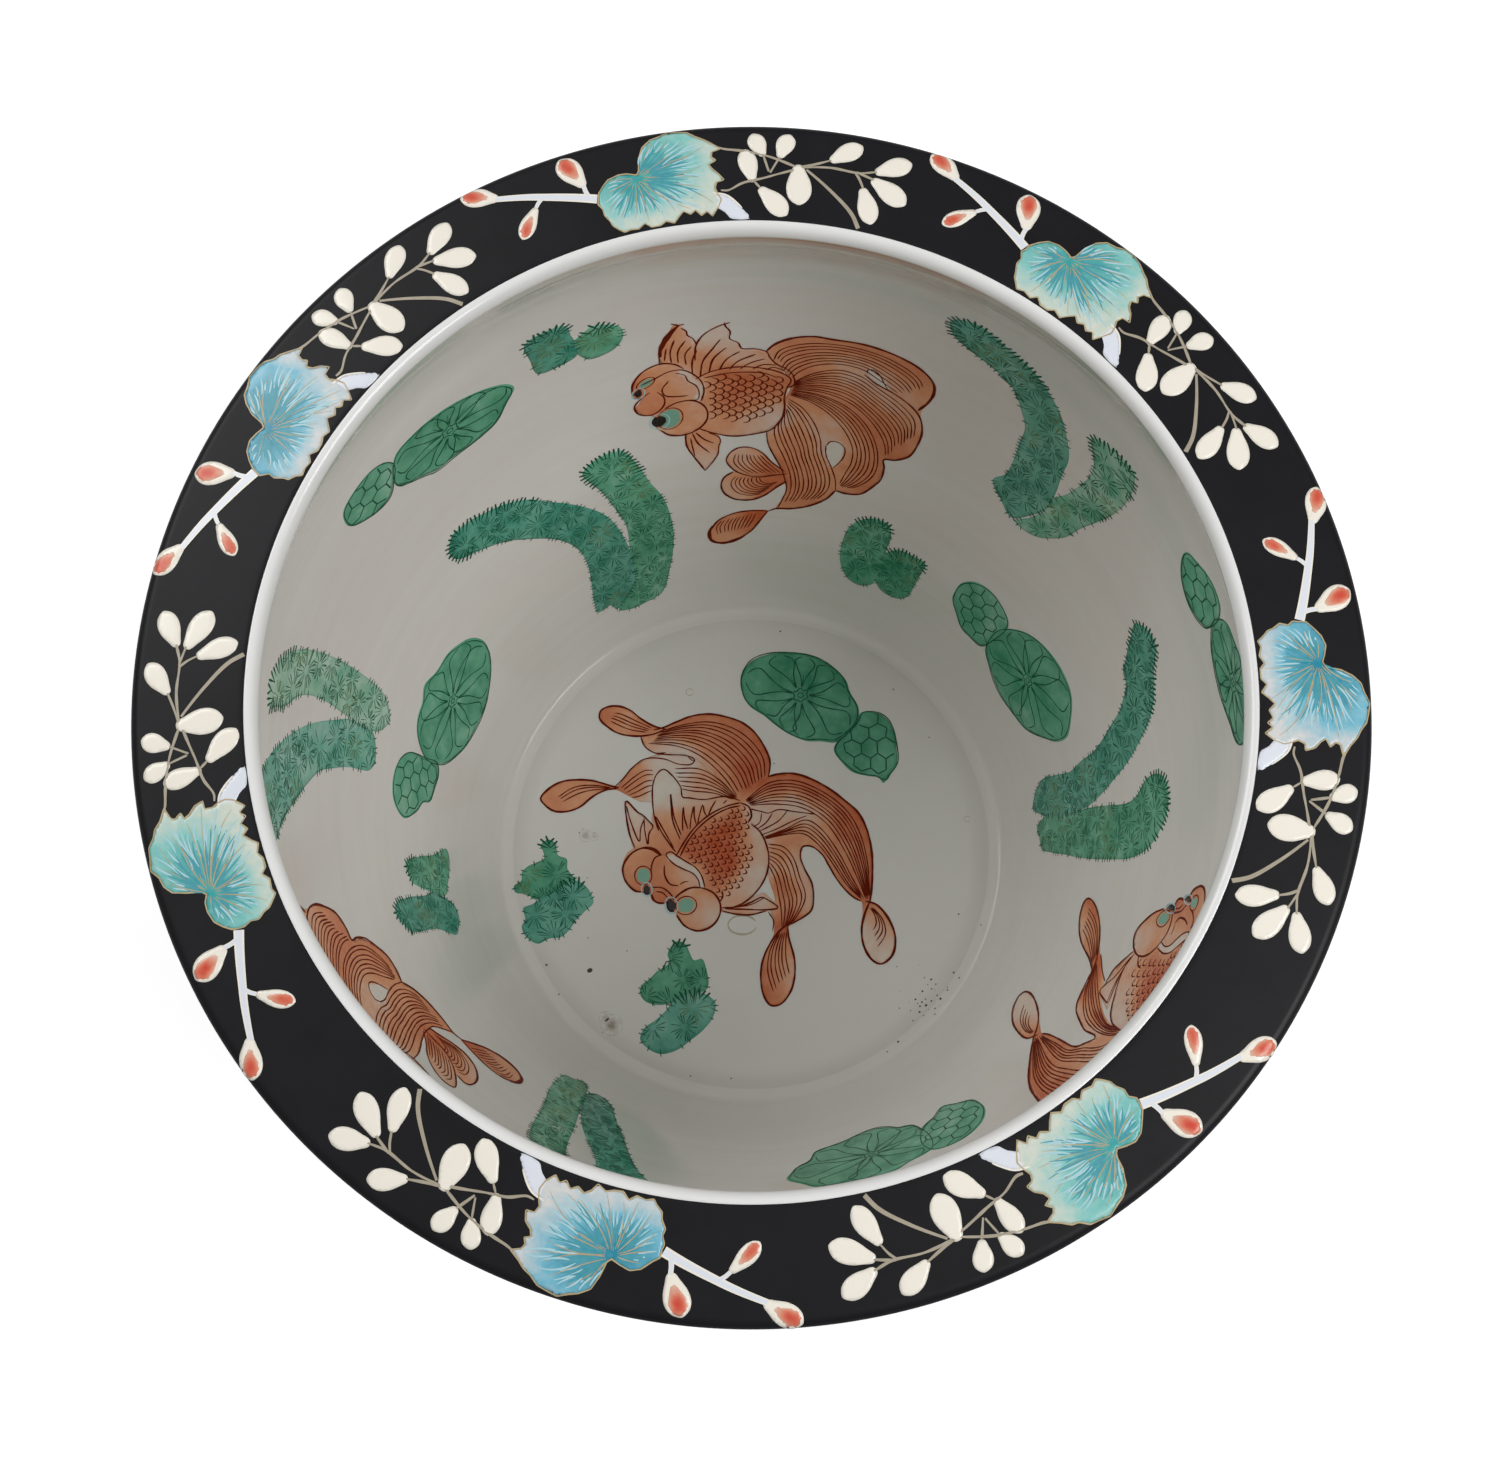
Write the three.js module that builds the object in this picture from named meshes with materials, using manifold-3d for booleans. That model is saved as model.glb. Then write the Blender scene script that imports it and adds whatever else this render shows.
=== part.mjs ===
// A deep round porcelain fish bowl with a flat rim, black grounds and painted enamels.
// Lengths are millimetres, +Z is up, and the origin is the middle of the foot's flat underside.
import * as THREE from "three";
import { mergeVertices } from "three/addons/utils/BufferGeometryUtils.js";
import Module from "manifold-3d";

const wasm = await Module();
wasm.setup();

// Sizes of the thrown body
const bowlHeight = 320;
const rimRadius = 203;
const bandWidth = 38;
const lipWidth = 5.6;
const lipDrop = 6.4;
const rimDrop = 4.65;
const rimEdgeThickness = 6.4;
const rimRootThickness = 10;
const neckReturn = 6.4;
const neckDepth = 19.3;
const bellyBulge = 14.5;
const bellyDepth = 72.5;
const wallFootRadius = 116.3;
const wallThickness = 9;
const floorThickness = 11.8;
const footHeight = 10;
const footOuterRadius = 119;
const footWidth = 12;
const footChamfer = 1.5;
const footTopWidth = 16;

// Sizes of the fused layers: the black ground and the painted enamels
const seatGap = 0.3;
const coatThickness = 0.6;
const enamelThickness = 0.5;
const blockReach = 35;

// Places that follow from the sizes
const bandInnerRadius = rimRadius - bandWidth;
const throatRadius = bandInnerRadius - lipWidth;
const throatHeight = bowlHeight - lipDrop;
const neckRadius = throatRadius + neckReturn;
const neckHeight = bowlHeight - neckDepth;
const bellyRadius = neckRadius + bellyBulge;
const bellyHeight = bowlHeight - bellyDepth;
const floorHeight = footHeight + floorThickness;
const coatSeat = seatGap + coatThickness;
const enamelSeat = seatGap + enamelThickness;
const edgeRadius = rimEdgeThickness / 2;
const edgeCentreRadius = rimRadius - edgeRadius - coatSeat;
const edgeCentreHeight = bowlHeight - rimDrop;

// Counts
const turnSegments = 36;
const lipSteps = 3;
const edgeSteps = 2;
const upperRowSteps = 3;
const middleRowSteps = 2;
const lowerRowSteps = 3;

// The inner wall's bend. Above the belly: share of the way from belly to neck, in radius and in height.
const shoulderShares = [[0.221, 0.515]];
// Below the belly: share of the way from the foot of the wall to the belly, in radius and in height.
const lowerWallShares = [[0.95, 0.836], [0.773, 0.608], [0.559, 0.429], [0.347, 0.251], [0.133, 0.073]];

// The enamels are drawn on squares, as a pricked pattern is. Every outline point is [across, down],
// or on the rim [across, outwards], as shares of a square, and a square follows the face it lies on.
const wallSquareTurn = 35.6;
const wallSquareShare = 0.3263;
const wallStartShare = 0.065;
const floorSquareShare = 0.86;
const rimSquareTurn = 31.1;
const bandSquareShare = 0.38;
const outerSquareTurn = 50;
const outerStartShare = 0.16;
const outerSquareShare = 0.62;

// Where the sprays stand round the bowl, in degrees
const rimSprayTurns = [170.5, 121.4, 73.1, 21.2, -33.8, -84.2, -139.3];
const outerSprayTurns = [30, 150, 270];

const wallFishShares = [
  [-0.41, 1.1], [-0.475, 1.27], [-0.475, 1.34], [-0.55, 1.385], [-0.6, 1.5], [-0.6, 1.64], [-0.53, 1.69],
  [-0.55, 1.76], [-0.49, 1.84], [-0.4, 1.86], [-0.39, 1.99], [-0.34, 2.1], [-0.27, 2], [-0.26, 1.9],
  [-0.13, 1.89], [-0.055, 1.855], [-0.04, 1.99], [0, 2.08], [-0.08, 2], [-0.16, 1.965], [-0.235, 2.02],
  [-0.225, 2.12], [-0.27, 2.21], [-0.22, 2.31], [-0.13, 2.33], [-0.04, 2.28], [0.04, 2.19], [0.03, 2.31],
  [-0.02, 2.38], [-0.2, 2.42], [-0.33, 2.51], [-0.34, 2.6], [-0.26, 2.64], [-0.13, 2.56], [-0.04, 2.425],
  [0.14, 2.35], [0.28, 2.2], [0.4, 2.17], [0.475, 2.02], [0.47, 1.9], [0.565, 1.82], [0.585, 1.66],
  [0.555, 1.52], [0.585, 1.36], [0.5, 1.225], [0.3, 1.185], [0.08, 1.205], [-0.07, 1.33], [-0.16, 1.31],
  [-0.22, 1.125], [-0.33, 1.25],
];
// The third fish lies another way round, as the one on the floor does.
const turnedFishShares = [
  [-0.5, 1.14], [-0.525, 1.24], [-0.505, 1.35], [-0.48, 1.48], [-0.525, 1.58], [-0.5, 1.67], [-0.42, 1.71],
  [-0.36, 1.69], [-0.3, 1.78], [-0.23, 1.86], [-0.32, 1.96], [-0.47, 2.08], [-0.57, 2.24], [-0.53, 2.285],
  [-0.4, 2.23], [-0.3, 2.1], [-0.2, 1.995], [-0.08, 1.98], [0.01, 1.84], [0.06, 1.7], [0.1, 1.67],
  [0.145, 1.75], [0.11, 1.97], [0.11, 2.13], [0, 2.28], [-0.085, 2.46], [-0.05, 2.54], [0.03, 2.525],
  [0.12, 2.38], [0.14, 2.17], [0.28, 1.98], [0.37, 1.77], [0.39, 1.55], [0.34, 1.34], [0.24, 1.14],
  [0.18, 1.08], [0.25, 0.94], [0.23, 0.8], [0.12, 0.7], [-0.02, 0.7], [-0.07, 0.62], [-0.12, 0.53],
  [-0.2, 0.52], [-0.22, 0.6], [-0.16, 0.72], [-0.22, 0.8], [-0.32, 0.84], [-0.42, 0.76], [-0.54, 0.73],
  [-0.62, 0.77], [-0.6, 0.84], [-0.46, 0.88], [-0.36, 0.91], [-0.4, 1.02], [-0.46, 1.1],
];
const floorFishShares = [
  [-0.71, 0.63], [-0.69, 0.675], [-0.61, 0.68], [-0.52, 0.62], [-0.42, 0.58], [-0.31, 0.625], [-0.18, 0.64],
  [-0.04, 0.6], [0.05, 0.51], [0.09, 0.41], [0.085, 0.345], [0.2, 0.355], [0.33, 0.305], [0.45, 0.22],
  [0.53, 0.11], [0.565, -0.04], [0.555, -0.245], [0.62, -0.305], [0.665, -0.42], [0.63, -0.53], [0.56, -0.525],
  [0.51, -0.41], [0.515, -0.255], [0.43, -0.19], [0.36, -0.08], [0.29, 0.005], [0.235, -0.01], [0.28, -0.16],
  [0.285, -0.28], [0.18, -0.36], [0.195, -0.48], [0.195, -0.62], [0.14, -0.725], [0.08, -0.725],
  [0.045, -0.6], [0.08, -0.46], [0.105, -0.36], [0.085, -0.3], [-0.05, -0.315], [-0.14, -0.3],
  [-0.19, -0.37], [-0.27, -0.38], [-0.345, -0.31], [-0.4, -0.25], [-0.46, -0.245], [-0.51, -0.21],
  [-0.59, -0.13], [-0.58, -0.03], [-0.55, 0], [-0.585, 0.13], [-0.585, 0.22], [-0.5, 0.205], [-0.62, 0.27],
  [-0.72, 0.25], [-0.84, 0.175], [-0.94, 0.185], [-0.98, 0.235], [-0.9, 0.31], [-0.78, 0.325],
  [-0.63, 0.3], [-0.56, 0.38], [-0.45, 0.445], [-0.52, 0.53], [-0.63, 0.55],
];
const floorPadsShares = [
  [-0.045, 0.82], [-0.035, 0.73], [0.06, 0.635], [0.18, 0.545], [0.3, 0.51], [0.4, 0.505], [0.395, 0.46],
  [0.48, 0.36], [0.6, 0.335], [0.68, 0.4], [0.68, 0.53], [0.61, 0.645], [0.52, 0.65], [0.51, 0.68],
  [0.44, 0.82], [0.33, 0.91], [0.17, 0.945], [0.01, 0.9],
];
const floorWeedShares = [
  [-0.37, -0.46], [-0.33, -0.435], [-0.28, -0.46], [-0.26, -0.51], [-0.22, -0.52], [-0.195, -0.6],
  [-0.19, -0.66], [-0.16, -0.72], [-0.24, -0.84], [-0.34, -0.92], [-0.42, -0.94], [-0.5, -0.86],
  [-0.42, -0.73], [-0.49, -0.7], [-0.49, -0.62], [-0.43, -0.555], [-0.34, -0.52],
];
const floorWeedOffsetShares = [[0, 0], [-0.56, 0.48]];
const lowTallWeedShares = [
  [-0.52, 1.8], [-0.46, 1.715], [-0.29, 1.76], [-0.1, 1.87], [0.12, 2.11], [0.23, 2.32], [0.255, 2.5],
  [0.275, 2.36], [0.21, 2.06], [0.155, 1.9], [0.22, 1.845], [0.34, 1.85], [0.44, 2.11], [0.505, 2.36],
  [0.5, 2.56], [0.41, 2.87], [0.34, 2.93], [0.16, 2.945], [0.06, 2.86], [-0.03, 2.845], [0, 2.62],
  [0.015, 2.38], [-0.08, 2.19], [-0.28, 2], [-0.48, 1.88],
];
const highTallWeedShares = [
  [-0.43, 0.83], [-0.34, 0.75], [-0.1, 0.86], [0.05, 1.01], [0.15, 1.22], [0.18, 1.5], [0.235, 1.32],
  [0.24, 1.12], [0.2, 0.98], [0.29, 0.925], [0.385, 0.925], [0.42, 1.08], [0.38, 1.37], [0.27, 1.71],
  [0.15, 1.815], [0.06, 1.81], [-0.07, 1.69], [-0.035, 1.5], [-0.05, 1.25], [-0.14, 1.07], [-0.38, 0.93],
];
// Two of the tall weeds stand steeper, with both stems side by side at the foot.
const steepWeedShares = [
  [-0.66, 0.92], [-0.56, 0.82], [-0.44, 0.84], [-0.33, 0.98], [-0.2, 1.18], [-0.1, 1.4], [-0.03, 1.62],
  [0, 1.68], [0, 1.5], [-0.02, 1.3], [-0.09, 1.15], [-0.15, 0.98], [-0.1, 0.93], [0.01, 0.97], [0.1, 1.12],
  [0.16, 1.4], [0.18, 1.7], [0.16, 1.9], [0.08, 1.99], [0, 1.9], [-0.05, 1.93], [-0.13, 1.945],
  [-0.18, 1.84], [-0.26, 1.5], [-0.41, 1.28], [-0.58, 1.06],
];
const longWeedShares = [
  [-0.57, 1.57], [-0.5, 1.49], [-0.42, 1.5], [-0.36, 1.59], [-0.26, 1.65], [-0.17, 1.78], [-0.09, 1.94],
  [-0.04, 2.08], [0.02, 2.28], [0.055, 2.15], [0.08, 1.96], [0.01, 1.8], [0.03, 1.67], [0.12, 1.63],
  [0.24, 1.7], [0.32, 1.87], [0.31, 2.1], [0.26, 2.4], [0.19, 2.67], [0.13, 2.79], [0.02, 2.81],
  [-0.02, 2.74], [-0.09, 2.83], [-0.19, 2.76], [-0.22, 2.65], [-0.18, 2.43], [-0.21, 2.2], [-0.28, 2],
  [-0.37, 1.83], [-0.47, 1.76],
];
const lowSmallWeedShares = [
  [-0.23, 2.5], [-0.19, 2.37], [-0.08, 2.3], [-0.005, 2.34], [0.01, 2.5], [0.08, 2.435], [0.22, 2.44],
  [0.21, 2.72], [0.14, 2.78], [0.04, 2.775], [-0.07, 2.815], [-0.19, 2.76],
];
const highSmallWeedShares = [
  [-0.185, 0.9], [-0.13, 0.88], [-0.035, 0.895], [-0.005, 1.03], [0.06, 0.97], [0.15, 1.03], [0.16, 1.1],
  [0.11, 1.185], [0.02, 1.19], [-0.02, 1.14], [-0.1, 1.16], [-0.175, 1.145],
];
const lowPadsShares = [
  [-0.48, 2.46], [-0.45, 2.35], [-0.33, 2.29], [-0.2, 2.325], [-0.15, 2.37], [0, 2.26], [0.22, 2.21],
  [0.42, 2.3], [0.485, 2.4], [0.42, 2.57], [0.3, 2.7], [0.08, 2.755], [-0.08, 2.7], [-0.17, 2.63],
  [-0.34, 2.66], [-0.45, 2.56],
];
const highPadsShares = [
  [-0.38, 1.01], [-0.34, 0.935], [-0.2, 0.93], [-0.115, 1.02], [0, 0.975], [0.2, 1], [0.39, 1.1],
  [0.4, 1.17], [0.3, 1.29], [0.12, 1.315], [0, 1.29], [-0.14, 1.165], [-0.27, 1.17], [-0.36, 1.09],
];
const levelPadsShares = [
  [-0.23, 0.97], [-0.21, 0.9], [-0.12, 0.84], [-0.02, 0.82], [0.035, 0.87], [0.1, 0.8], [0.22, 0.77],
  [0.36, 0.79], [0.46, 0.86], [0.46, 0.94], [0.36, 1.03], [0.22, 1.07], [0.08, 1.05], [0.03, 1],
  [-0.01, 1.07], [-0.09, 1.105], [-0.17, 1.08],
];
// Each wall motif: name, kind of paint, and for each copy its outline, its turn in degrees, and how far
// down it is moved as a share of a square.
const wallMotifShares = [
  ["wall_fish", "ironRed", [
    [wallFishShares, 85.5, 0], [wallFishShares, 218.5, -0.32], [turnedFishShares, -34.5, 0],
  ]],
  ["low_tall_weed", "green", [
    [lowTallWeedShares, 122.6, 0], [steepWeedShares, 239.2, 0.75], [longWeedShares, 2.6, 0],
  ]],
  ["high_tall_weed", "green", [
    [highTallWeedShares, 49.8, 0], [steepWeedShares, 169.8, 0], [highTallWeedShares, 282, -0.12],
  ]],
  ["low_small_weed", "green", [
    [lowSmallWeedShares, 64.2, 0], [lowSmallWeedShares, 192, -0.2], [lowSmallWeedShares, 300, -1.2],
  ]],
  ["high_small_weed", "green", [
    [highSmallWeedShares, 112.3, 0], [highSmallWeedShares, 252, 0.2], [highSmallWeedShares, 355, -0.36],
  ]],
  ["low_lily_pads", "green", [
    [lowPadsShares, 32.1, 0], [lowPadsShares, 163.7, -0.08], [lowPadsShares, 291.3, -0.37],
  ]],
  ["high_lily_pads", "green", [
    [highPadsShares, 136.5, 0], [highPadsShares, 251.5, -0.4], [levelPadsShares, 16.5, 0],
  ]],
];
const rimLeafShares = [
  [0.468, 0.165], [0.49, 0.2], [0.555, 0.233], [0.623, 0.225], [0.64, 0.29], [0.69, 0.34], [0.735, 0.363],
  [0.8, 0.355], [0.84, 0.315], [0.908, 0.28], [0.862, 0.225], [0.91, 0.157], [0.885, 0.115], [0.965, 0.06],
  [1.005, 0.012], [0.93, 0.012], [0.888, 0.055], [0.86, 0.025], [0.75, 0.048], [0.71, 0.012], [0.515, 0.012],
  [0.468, 0.09],
];
// A stem is [start across, start outwards, end across, end outwards, start width, end width].
const twigStemShares = [
  [0.13, 0.302, 0.27, 0.242, 0.022, 0.03], [0.26, 0.246, 0.458, 0.163, 0.03, 0.034],
  [0.285, 0.236, 0.245, 0.2, 0.024, 0.02], [0.437, 0.175, 0.43, 0.235, 0.022, 0.02],
];
// A bud or berry is [stem across, stem outwards, tip across, tip outwards, width].
const twigBudShares = [
  [0.155, 0.29, 0.043, 0.363, 0.08], [0.262, 0.212, 0.158, 0.115, 0.062], [0.432, 0.215, 0.382, 0.35, 0.086],
];
const berryStemShares = [
  [0.92, 0.278, 1.18, 0.205, 0.012, 0.012], [0.927, 0.12, 1.18, 0.205, 0.012, 0.012],
  [1.11, 0.25, 1.075, 0.175, 0.012, 0.012], [1.165, 0.208, 1.3, 0.262, 0.012, 0.012],
  [1.17, 0.207, 1.4, 0.222, 0.012, 0.014], [1.19, 0.21, 1.42, 0.014, 0.012, 0.02],
];
const berryShares = [
  [1.055, 0.235, 1.012, 0.335, 0.068], [1.01, 0.14, 0.985, 0.275, 0.074], [1.1, 0.235, 1.135, 0.337, 0.07],
  [1.168, 0.225, 1.187, 0.067, 0.1], [1.015, 0.15, 1.145, 0.025, 0.086], [1.27, 0.245, 1.375, 0.325, 0.078],
  [1.385, 0.22, 1.545, 0.3, 0.08], [1.38, 0.222, 1.565, 0.14, 0.086], [1.375, 0.224, 1.465, 0.037, 0.084],
];
// On the outside the twig runs on to its leaf.
const outerJoinShares = [0.44, 0.17, 0.49, 0.155, 0.034, 0.034];
// Half the outline of a bud or berry: share of its length, then share of its width to one side
const dropShares = [[0, 0.15], [0.6, 0.5], [0.96, 0.28]];

const paints = {
  porcelain: new THREE.MeshStandardMaterial({ color: 0xdedad3, roughness: 0.12, metalness: 0 }),
  bareFoot: new THREE.MeshStandardMaterial({ color: 0xcdbfa9, roughness: 0.75, metalness: 0 }),
  black: new THREE.MeshStandardMaterial({ color: 0x1b1b1f, roughness: 0.4, metalness: 0 }),
  ironRed: new THREE.MeshStandardMaterial({ color: 0xb4552f, roughness: 0.3, metalness: 0 }),
  green: new THREE.MeshStandardMaterial({ color: 0x4a9a78, roughness: 0.22, metalness: 0 }),
  turquoise: new THREE.MeshStandardMaterial({ color: 0x5fbfc4, roughness: 0.22, metalness: 0 }),
  paleBlue: new THREE.MeshStandardMaterial({ color: 0xc9d2e4, roughness: 0.25, metalness: 0 }),
  cream: new THREE.MeshStandardMaterial({ color: 0xefe3c8, roughness: 0.25, metalness: 0 }),
};

const bowl = new THREE.Group();
bowl.name = "fish_bowl_jardiniere";

function addPiece(name, body, material) {
  const mesh = body.getMesh();
  const geometry = new THREE.BufferGeometry();
  geometry.setAttribute("position", new THREE.BufferAttribute(mesh.vertProperties, mesh.numProp));
  geometry.setIndex(new THREE.BufferAttribute(mesh.triVerts, 1));
  geometry.computeVertexNormals();
  const piece = new THREE.Mesh(geometry, material);
  piece.name = name;
  bowl.add(piece);
}

// Six times the volume that one triangle closes with the origin
function wedge(vertices, a, b, c) {
  const corner = (i) => new THREE.Vector3().fromArray(vertices, i * 3);
  return corner(a).dot(corner(b).cross(corner(c)));
}

// A closed geometry as a solid whose faces point outwards
function solidOf(geometry) {
  geometry.deleteAttribute("normal");
  geometry.deleteAttribute("uv");
  const merged = mergeVertices(geometry);
  const vertices = merged.getAttribute("position").array;
  const faces = [];
  let volume = 0;
  for (let i = 0; i < merged.index.count; i += 3) {
    const [a, b, c] = merged.index.array.slice(i, i + 3);
    if (a === b || b === c || a === c) continue;
    faces.push([a, b, c]);
    volume += wedge(vertices, a, b, c);
  }
  const facing = volume < 0 ? faces.map(([a, b, c]) => [a, c, b]) : faces;
  const triVerts = new Uint32Array(facing.flat());
  return new wasm.Manifold(new wasm.Mesh({ numProp: 3, vertProperties: vertices, triVerts }));
}

// A closed outline in radius and height, turned round the upright axis
function turned(profile) {
  const points = [...profile, profile[0]].map(([radius, height]) => new THREE.Vector2(radius, height));
  const geometry = new THREE.LatheGeometry(points, turnSegments);
  geometry.rotateX(Math.PI / 2);
  return solidOf(geometry);
}

// The inner wall from throat to floor, with the neck, the belly and the lower join among its points
const neckIndex = 1;
const bellyIndex = neckIndex + shoulderShares.length + 1;
const lowerJoinIndex = bellyIndex + 2;
const wallCurve = new THREE.CatmullRomCurve3(
  [
    [throatRadius, throatHeight],
    [neckRadius, neckHeight],
    ...shoulderShares.map(([radius, height]) => [
      bellyRadius - radius * (bellyRadius - neckRadius),
      bellyHeight + height * (neckHeight - bellyHeight),
    ]),
    [bellyRadius, bellyHeight],
    ...lowerWallShares.map(([radius, height]) => [
      wallFootRadius + radius * (bellyRadius - wallFootRadius),
      floorHeight + height * (bellyHeight - floorHeight),
    ]),
    [wallFootRadius, floorHeight],
  ].map(([radius, height]) => new THREE.Vector3(radius, height, 0)),
  false,
  "centripetal",
);
const wallSpans = wallCurve.points.length - 1;

// A row of the wall: radius and height on its inner face, and how much its lean widens a level cut
function wallRow(share) {
  const point = wallCurve.getPoint(share);
  const along = wallCurve.getTangent(share);
  return { radius: point.x, height: point.y, widening: -1 / along.y };
}

function wallRows(fromIndex, toIndex, steps) {
  return Array.from({ length: steps + 1 }, (_, step) =>
    wallRow((fromIndex + (step / steps) * (toIndex - fromIndex)) / wallSpans),
  );
}

// A ring between two distances outwards from the wall's inner face
function wallRing(rows, near, far) {
  const inner = rows.map((row) => [row.radius + near * row.widening, row.height]);
  const outer = rows.map((row) => [row.radius + far * row.widening, row.height]);
  return turned([...inner, ...outer.reverse()]);
}

const throatRows = wallRows(0, neckIndex, 1);
const upperRows = wallRows(neckIndex, bellyIndex, upperRowSteps);
const middleRows = wallRows(bellyIndex, lowerJoinIndex, middleRowSteps);
const lowerRows = wallRows(lowerJoinIndex, wallSpans, lowerRowSteps);
const bodyRows = [...middleRows, ...lowerRows.slice(1)];
const outerNeckRadius = upperRows[0].radius + wallThickness * upperRows[0].widening;
const heelRadius = wallFootRadius + wallThickness * lowerRows[lowerRowSteps].widening;

// Points on a quarter or half round, from one angle to another in quarter turns
function arc(centreRadius, centreHeight, radiusAcross, radiusUp, from, to, steps) {
  return Array.from({ length: steps + 1 }, (_, step) => {
    const angle = (from + (step / steps) * (to - from)) * (Math.PI / 2);
    return [centreRadius + radiusAcross * Math.cos(angle), centreHeight + radiusUp * Math.sin(angle)];
  });
}

// The rim's rounded edge at a distance outside the clay, from its top round to its widest line
function edgeArc(distance) {
  const radius = edgeRadius + distance;
  return arc(edgeCentreRadius, edgeCentreHeight, radius, radius, 1, 0, edgeSteps);
}

function addBody() {
  const footTopRadius = footOuterRadius + footChamfer;
  const footInnerRadius = footOuterRadius - footWidth;
  addPiece("foot_ring", turned([
    [footInnerRadius, footChamfer],
    [footInnerRadius + footChamfer, 0],
    [footOuterRadius - footChamfer, 0],
    [footOuterRadius, footChamfer],
    [footTopRadius, footHeight],
    [footTopRadius - footTopWidth, footHeight],
  ]), paints.bareFoot);
  addPiece("floor_slab", turned([
    [0, footHeight],
    [footTopRadius, footHeight],
    [heelRadius, floorHeight],
    [0, floorHeight],
  ]), paints.porcelain);
  addPiece("lower_wall", wallRing(lowerRows, 0, wallThickness), paints.porcelain);
  addPiece("middle_wall", wallRing(middleRows, 0, wallThickness), paints.porcelain);
  addPiece("upper_wall", wallRing(upperRows, 0, wallThickness), paints.porcelain);
  const undersideHeight = bowlHeight - rimRootThickness;
  const coveWidth = (undersideHeight - neckHeight) / 2;
  addPiece("rim_flange", turned([
    [neckRadius, neckHeight],
    ...arc(bandInnerRadius, throatHeight, lipWidth, lipDrop, 2, 1, lipSteps),
    [bandInnerRadius, bowlHeight - coatSeat],
    ...edgeArc(0),
    [edgeCentreRadius, edgeCentreHeight - edgeRadius],
    [outerNeckRadius + coveWidth * 2, undersideHeight],
    [outerNeckRadius + coveWidth / 2, undersideHeight - coveWidth / 2],
    [outerNeckRadius, neckHeight],
  ]), paints.porcelain);
}

function addCoats() {
  const innerRadius = bandInnerRadius + seatGap;
  addPiece("rim_black_coat", turned([
    [innerRadius, bowlHeight - coatThickness],
    [innerRadius, bowlHeight],
    ...edgeArc(coatSeat),
    ...edgeArc(seatGap).reverse(),
  ]), paints.black);
  const near = wallThickness + seatGap;
  const far = wallThickness + coatSeat;
  addPiece("shoulder_black_coat", wallRing(upperRows, near, far), paints.black);
  addPiece("body_black_coat", wallRing(bodyRows, near, far), paints.black);
}

// A block through the wall: an outline in shares of a square, with each corner put in space by place
function block(outline, place) {
  const shape = new THREE.Shape(outline.map(([across, down]) => new THREE.Vector2(across, down)));
  const geometry = new THREE.ExtrudeGeometry(shape, { depth: 1, bevelEnabled: false });
  const corners = geometry.getAttribute("position");
  for (let i = 0; i < corners.count; i += 1) {
    const side = corners.getZ(i) > 0 ? 1 : -1;
    corners.setXYZ(i, ...place(corners.getX(i), corners.getY(i), side * blockReach));
  }
  return solidOf(geometry);
}

function inSpace(radius, turn, height) {
  const angle = THREE.MathUtils.degToRad(turn);
  return [radius * Math.cos(angle), radius * Math.sin(angle), height];
}

// Places on the inner wall: down is counted from the lip, and out is towards the bowl's axis
function onWall(turn) {
  return (across, down, out) => {
    const share = (down - wallStartShare) * wallSquareShare;
    const point = wallCurve.getPointAt(share);
    const along = wallCurve.getTangentAt(share);
    return inSpace(point.x + out * along.y, turn - across * wallSquareTurn, point.y - out * along.x);
  };
}

// Places on the rim's black band
function onRim(turn) {
  return (across, outwards, up) =>
    inSpace(
      bandInnerRadius + (outwards / bandSquareShare) * bandWidth,
      turn - across * rimSquareTurn,
      bowlHeight + up,
    );
}

// Places on the outside of the bowl, read with the rim's outlines: outwards there is upwards here
function onOutside(turn) {
  return (across, upwards, out) => {
    const share = outerStartShare + (bandSquareShare - upwards) * outerSquareShare;
    const point = wallCurve.getPointAt(share);
    const along = wallCurve.getTangentAt(share);
    const away = wallThickness + coatSeat + out;
    return inSpace(point.x - away * along.y, turn + across * outerSquareTurn, point.y + away * along.x);
  };
}

// Places on the flat floor
function onFloor(across, up, out) {
  const square = wallFootRadius * floorSquareShare;
  return [across * square, up * square, floorHeight + out];
}

// The thin layers that the blocks are cut from, each following the face below it
const wallShell = wallRing([...throatRows, ...upperRows.slice(1), ...bodyRows.slice(1)], -seatGap, -enamelSeat);
const outerShell = wallRing(
  [...upperRows, ...bodyRows.slice(1)],
  wallThickness + coatSeat + seatGap,
  wallThickness + coatSeat + enamelSeat,
);
const rimShell = turned([
  [bandInnerRadius, bowlHeight + seatGap],
  [bandInnerRadius, bowlHeight + enamelSeat],
  ...edgeArc(coatSeat + enamelSeat),
  ...edgeArc(coatSeat + seatGap).reverse(),
]);
const floorShell = turned([
  [0, floorHeight + seatGap],
  [wallFootRadius, floorHeight + seatGap],
  [wallFootRadius, floorHeight + enamelSeat],
  [0, floorHeight + enamelSeat],
]);

function stemOutline([startX, startY, endX, endY, startWidth, endWidth]) {
  const along = new THREE.Vector2(endX - startX, endY - startY).normalize();
  const edge = (x, y, offset) => [x - along.y * offset, y + along.x * offset];
  return [
    edge(startX, startY, startWidth / 2),
    edge(startX, startY, -startWidth / 2),
    edge(endX, endY, -endWidth / 2),
    edge(endX, endY, endWidth / 2),
  ];
}

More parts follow.
